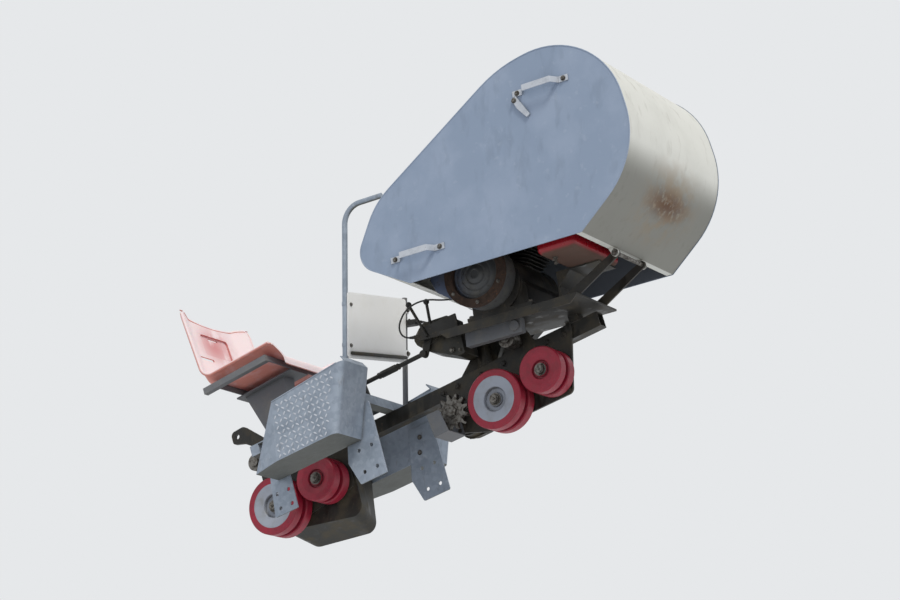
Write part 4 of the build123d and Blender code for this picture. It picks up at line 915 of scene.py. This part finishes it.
# %% Seat rim
FORWARD = Vector((0.996, 0, 0.0885))  # square to the backrest
RIM_R = 6.4
RIM_Y = 238  # the side edges, from the middle
CORNER_R = 30  # the backrest's upper corners
DIP, DIP_HALF = 18, 178  # the dip in the backrest's top edge
corner = rounded([(-690, 417.2), (-1029.6, 406.0), (-1057.8, 720.0), (-690, 720.0)], [1, 49, 1, 1])
edge = [(x, z) for x, z in corner if z < 690 and x < -700]
edge = [(-696, 417)] + edge + [(-1056.4, 696)]
right_side = [Vector((x, -RIM_Y, z)) for x, z in edge]
over_top = []
for k in range(25):
    y = -232 + 464 * k / 24
    wing = max(0.0, min(1.0, (abs(y) - 150) / 76))
    dip = DIP * max(0.0, 1 - (y / DIP_HALF) ** 2)
    past = max(0.0, abs(y) - (RIM_Y - CORNER_R))  # how far round the corner
    shoulder = CORNER_R - sqrt(max(0.0, CORNER_R ** 2 - past ** 2))
    foot = Vector((-1096, y, 728 - dip - shoulder))
    over_top.append(foot + FORWARD * (3 + 34 * wing) + Vector((0, 0, -2)))
left_side = [Vector((p.x, RIM_Y, p.z)) for p in reversed(right_side)]
rim_line = right_side + over_top + left_side
mesh = bmesh.new()
rings = []
for i, point in enumerate(rim_line):
    before, after = rim_line[max(0, i - 1)], rim_line[min(len(rim_line) - 1, i + 1)]
    along = (after - before).normalized()
    one = along.orthogonal().normalized() if not rings else (last - along * last.dot(along)).normalized()
    last = one
    rings.append(ring(mesh, point, one * RIM_R, along.cross(one) * RIM_R, 10))
bridge(mesh, rings)
put("seat_rim", mesh, "seat_plastic")

# %% Seat bolts
screws = bmesh.new()
for x in (-993, -741):
    for y in (-120, 120):
        height = 368 + (x + 1064) * 12 / 365 + 6
        turned(screws, (x, y, height), (0, 0, 1), [(15, -0.5), (15, 1.5), (12, 3.4), (5, 5.0)], 24)
put("seat_bolts", screws)

# %% [markdown]
# ## The leg shield
#
# Two spring clips hold the shield's near edge to the grab tube, and its far edge has two tabs that are bolted to the
# far post. The shield stands along the plumb line, so its places are a height on that line and a distance uphill of
# the tubes.

# %% Shield clips and bolts
LEAN = radians(17)
PLUMB, UPHILL = Vector((sin(LEAN), 0, cos(LEAN))), Vector((cos(LEAN), 0, -sin(LEAN)))
TUBE_FOOT = Vector((-425, 0, 85))


def on_shield(height, y, uphill):
    """A point of the model from the height up the shield's tubes and the distance uphill of them."""
    return TUBE_FOOT + PLUMB * height + UPHILL * uphill + Vector((0, y, 0))


clips, screws = bmesh.new(), bmesh.new()
for height in (185, 350):
    strap = [on_shield(height, -194, 10.4), on_shield(height, -211, 10.4)]
    for k in range(11):
        t = radians(45 - 27 * k)
        strap.append(on_shield(height, -222 + 12.0 * cos(t), 12.0 * sin(t)))
    bar(clips, strap, (1.0, 8.0), PLUMB, sides=8)
    bolt(screws, on_shield(height, -202, 14.3), UPHILL, 10)
for height in (230, 413):
    bolt(screws, on_shield(height, 222, 14.3), UPHILL)
for y in (215, 237):
    bolt(screws, on_shield(368, y, 26), PLUMB, 8)
put("shield_clips", clips, "galvanised")
put("shield_bolts", screws)

# %% [markdown]
# ## Engine and drive
#
# Cast covers are held by rings of screws, and a ring is a loop over angles. The bed shows its bolts' nuts from
# below, where the camera is. The gear case is cast in two halves, with screws all round its flange.


# %% A ring of bolts
def ring_of_bolts(mesh, centre, radius, y, out, number, across, start=0.0):
    """Adds bolts round a centre (x, z) on a face that looks across the machine."""
    for k in range(number):
        t = radians(start) + 2 * pi * k / number
        bolt(mesh, (centre[0] + radius * cos(t), y, centre[1] + radius * sin(t)), out, across)


fan = on_bed(208, 10, 0)
crank = on_bed(230, -20, 0)
screws = bmesh.new()
ring_of_bolts(screws, (fan.x, fan.z), 115, -252, NEAR, 6, 10, 20)
ring_of_bolts(screws, (crank.x, crank.z), 104, 170, FAR, 8, 10)
ring_of_bolts(screws, (-945, -150), 47, 232, FAR, 6, 10)
ring_of_bolts(screws, (-60, 190), 37, 60, FAR, 4, 8, 45)
ring_of_bolts(screws, (-110, -102.5), 30, 214, FAR, 4, 7, 45)
for x, z in ((-8, 108), (-118, 172)):
    bolt(screws, (x, -65, z), NEAR)
for x, z in ((-132, 234), (-2, 236), (24, 96)):
    bolt(screws, (x, -60, z), NEAR, 10)
for x, z in ((crank.x, crank.z), (145, 157), (10, 75)):
    bolt(screws, (x, 256, z), FAR)
put("cover_bolts", screws)

# %% Bolts through the bed
screws = bmesh.new()
for along in (112, 373):
    for y in (-135, 155):
        bolt(screws, on_bed(along, -125, y), BED_UP, 17)
        bolt(screws, on_bed(along, -149, y), BED_DOWN, 17)
for along in (497, 512):
    for y in (-70, 30):
        bolt(screws, on_bed(along, -135, y), BED_UP, 10)
for along, y in ((60, -60), (262, -60), (90, 140), (330, -110)):
    bolt(screws, on_bed(along, -141, y), BED_UP, 10)
put("bed_bolts", screws)

# %% Flange screws of the gear case
CASE_CORNERS = [(-185, -170), (-45, -170), (40, 20), tuple(on_bed(100, -149, 0).xz),
                tuple(on_bed(-20, -149, 0).xz), (-150, 20)]
case_line = rounded(CASE_CORNERS, [50, 50, 60, 1, 1, 60])
screws = bmesh.new()
walked, number = 60.0, 0
for a, b in zip(case_line, case_line[1:] + case_line[:1]):
    a, b = Vector(a), Vector(b)
    while walked < (b - a).length:
        spot = a.lerp(b, walked / (b - a).length)
        spot += Vector(((b - a).y, -(b - a).x)).normalized() * 3.6
        if (spot.x - BED_X) * sin(BED_TILT) + (spot.y - BED_Z) * cos(BED_TILT) <= -165:  # below the bed
            bolt(screws, (spot.x, 170, spot.y), FAR, 7)
            number += 1
        walked += 78.0
    walked -= (b - a).length
put("case_screws", screws)
print(number, "screws round the gear case")

# %% [markdown]
# The cylinder leans 15 degrees from the crankcase. On it stand the valve cover's screws, uphill of it the muffler with
# its two bands and tail pipe, and downhill of it the air cleaner with its wing nut. All of them are under the hood,
# where they show when it is tipped.


# %% Parts round the cylinder
def on_barrel(height, out, y):
    """A point from the height up the cylinder's axis and the distance uphill of it."""
    t = radians(15)
    return on_bed(230 + height * sin(t) + out * cos(t), -20 + height * cos(t) - out * sin(t), y)


BARREL_UP = on_barrel(1, 0, 0) - on_barrel(0, 0, 0)
screws = bmesh.new()
for out in (-44, 44):
    for y in (-26, 66):
        bolt(screws, on_barrel(265, out, y), BARREL_UP, 8)
cleaner = on_barrel(219, -161, -17)
turned(screws, cleaner, NEAR, [(9, -1), (9, 2), (5, 3), (5, 9), (3, 10)], 16)
for wing in (-1, 1):
    tip = cleaner + Vector((wing * 15, -9, 4))
    bar(screws, [cleaner + Vector((wing * 3, -5, 0)), tip], (4.0, 1.6), (0, 1, 0.2))
put("engine_screws", screws)

bands = bmesh.new()
muffler = on_barrel(207, 157, 0)
for y in (-50, 78):
    turned(bands, (muffler.x, y, muffler.z), FAR, [(47, 0), (49.6, 0.6), (49.6, 13.4), (47, 14)], 40)
turned(bands, (muffler.x, 123, muffler.z), FAR, [(15, 0), (15, 34), (12.5, 34), (12.5, 4)], 24)
put("muffler_bands", bands, "rusty_iron")

# %% Filler cap ridges, fuel tap and oil cap
cap = bmesh.new()
for k in range(20):
    t = 2 * pi * k / 20
    foot = on_bed(597.5 + 37 * cos(t), 180, -200 + 37 * sin(t))
    bar(cap, [foot, foot + Vector(BED_UP) * 14], (1.5, 1.5), (0, 1, 0), sides=6)
oil = on_bed(150, -88, 155)
turned(cap, oil, FAR, [(15, 0), (15, 7), (13, 9), (6, 9), (6, 16), (4, 17)], 12)
put("filler_caps", cap, "engine_dark")

tap = bmesh.new()
below = on_bed(560, -20, -250)
turned(tap, below, BED_DOWN, [(9, -1), (9, 6), (6, 8), (6, 20), (8, 21), (8, 27), (4, 29)], 16)
lever = below + Vector(BED_DOWN) * 14
bar(tap, [lever, lever + Vector((0, -22, -3))], (4.5, 1.4), (0, 0, 1))
put("fuel_tap", tap)

# %% [markdown]
# ## Running gear
#
# Each axle end carries a grease nipple, and turns with its wheel. The pinion is held by a nut, and the pull rod has
# a six-sided sleeve with a lock nut at each end, which sets its length.

# %% Grease nipples and the pinion nut
NIPPLE = [(5, -1), (5, 2.5), (3, 3.5), (3, 6.5), (4.2, 7.5), (4.2, 9), (2, 10.5)]
for end, big_x in (("uphill", 100), ("downhill", -975)):
    # wheels, x, z, near end of the shaft
    for wheels, x, z, near_end in (("big", big_x, -148.5, -61.6), ("small", big_x + 222, -121.5, -69.6)):
        mesh = bmesh.new()
        turned(mesh, (x, near_end, z), NEAR, NIPPLE, 16)
        turned(mesh, (x, 112, z), FAR, NIPPLE, 16)
        put(f"{wheels}_wheels_{end}_nipples", mesh, body=f"{wheels}_wheels_{end}")

mesh = bmesh.new()
turned(mesh, (-110, -10, -102.5), NEAR, [(27, -1), (27, 2), (24, 2.5)], 24)
turned(mesh, (-110, -10, -102.5), NEAR, [(24, 2), (24, 12), (20, 15)], 6)
put("pinion_nut", mesh, body="pinion")

# %% Pull rod sleeve, plate bolts and guard bolts
mesh = bmesh.new()
lock_nut, sleeve = [(11, -12), (13, -10), (13, -2), (11, 0)], [(12, 1), (14, 4), (14, 76), (12, 79)]
for profile in (lock_nut, sleeve, [(11, 80), (13, 82), (13, 90), (11, 92)]):
    turned(mesh, (-330, -83.3, 138), (1, 0, 0), profile, 6)
for x in (-160, -92, 20, 128, 330, 408, -932, -862, -792, -712, -668):
    bolt(mesh, (x, 66, 12), NEAR, 17)
for x, z in ((-172, -136), (-136, -160)):
    bolt(mesh, (x, 62.7, z), NEAR, 10)
put("plate_bolts", mesh, "engine_dark")

# %% [markdown]
# ## Welds
#
# The frame is welded from tubes and plates. Beads run where a tube stands on another, round the feet of the posts
# and the pedestal, and along the long joints under the engine bed.

# %% Weld beads
beads = bmesh.new()
for x in (20, 440):
    weld_round(beads, (x, x + 40), (76, 126), 46.5)
for x in (-600, -420, -940):
    for edge_x in (x - 20, x + 20):
        weld(beads, (edge_x, 78, 45.5), (edge_x, 124, 45.5), up=(1, 0, 0))
weld_round(beads, (-905, -835), (-35, 35), 95.5)
for y in (-8, 8):
    weld(beads, (-960.5, y, 52), (-960.5, y, 84), size=3.2)
for x0, x1 in ((-180, 370), (-1000, -665)):
    weld(beads, (x0, 77, -15.5), (x1, 77, -15.5))
for y in (-45, -75):
    weld(beads, on_bed(44, -149.5, y), on_bed(286, -149.5, y), size=2.6)
for y in (-222, 222):
    foot = [(-425 + 12 * cos(t), y + 12 * sin(t), 86) for t in (2 * pi * k / 28 for k in range(28))]
    bar(beads, foot, [(f, f) for f in (dice.uniform(2.2, 3.2) for _ in foot)], (0, 0, 1), 6, closed=True)
put("weld_beads", beads, "chassis_paint")
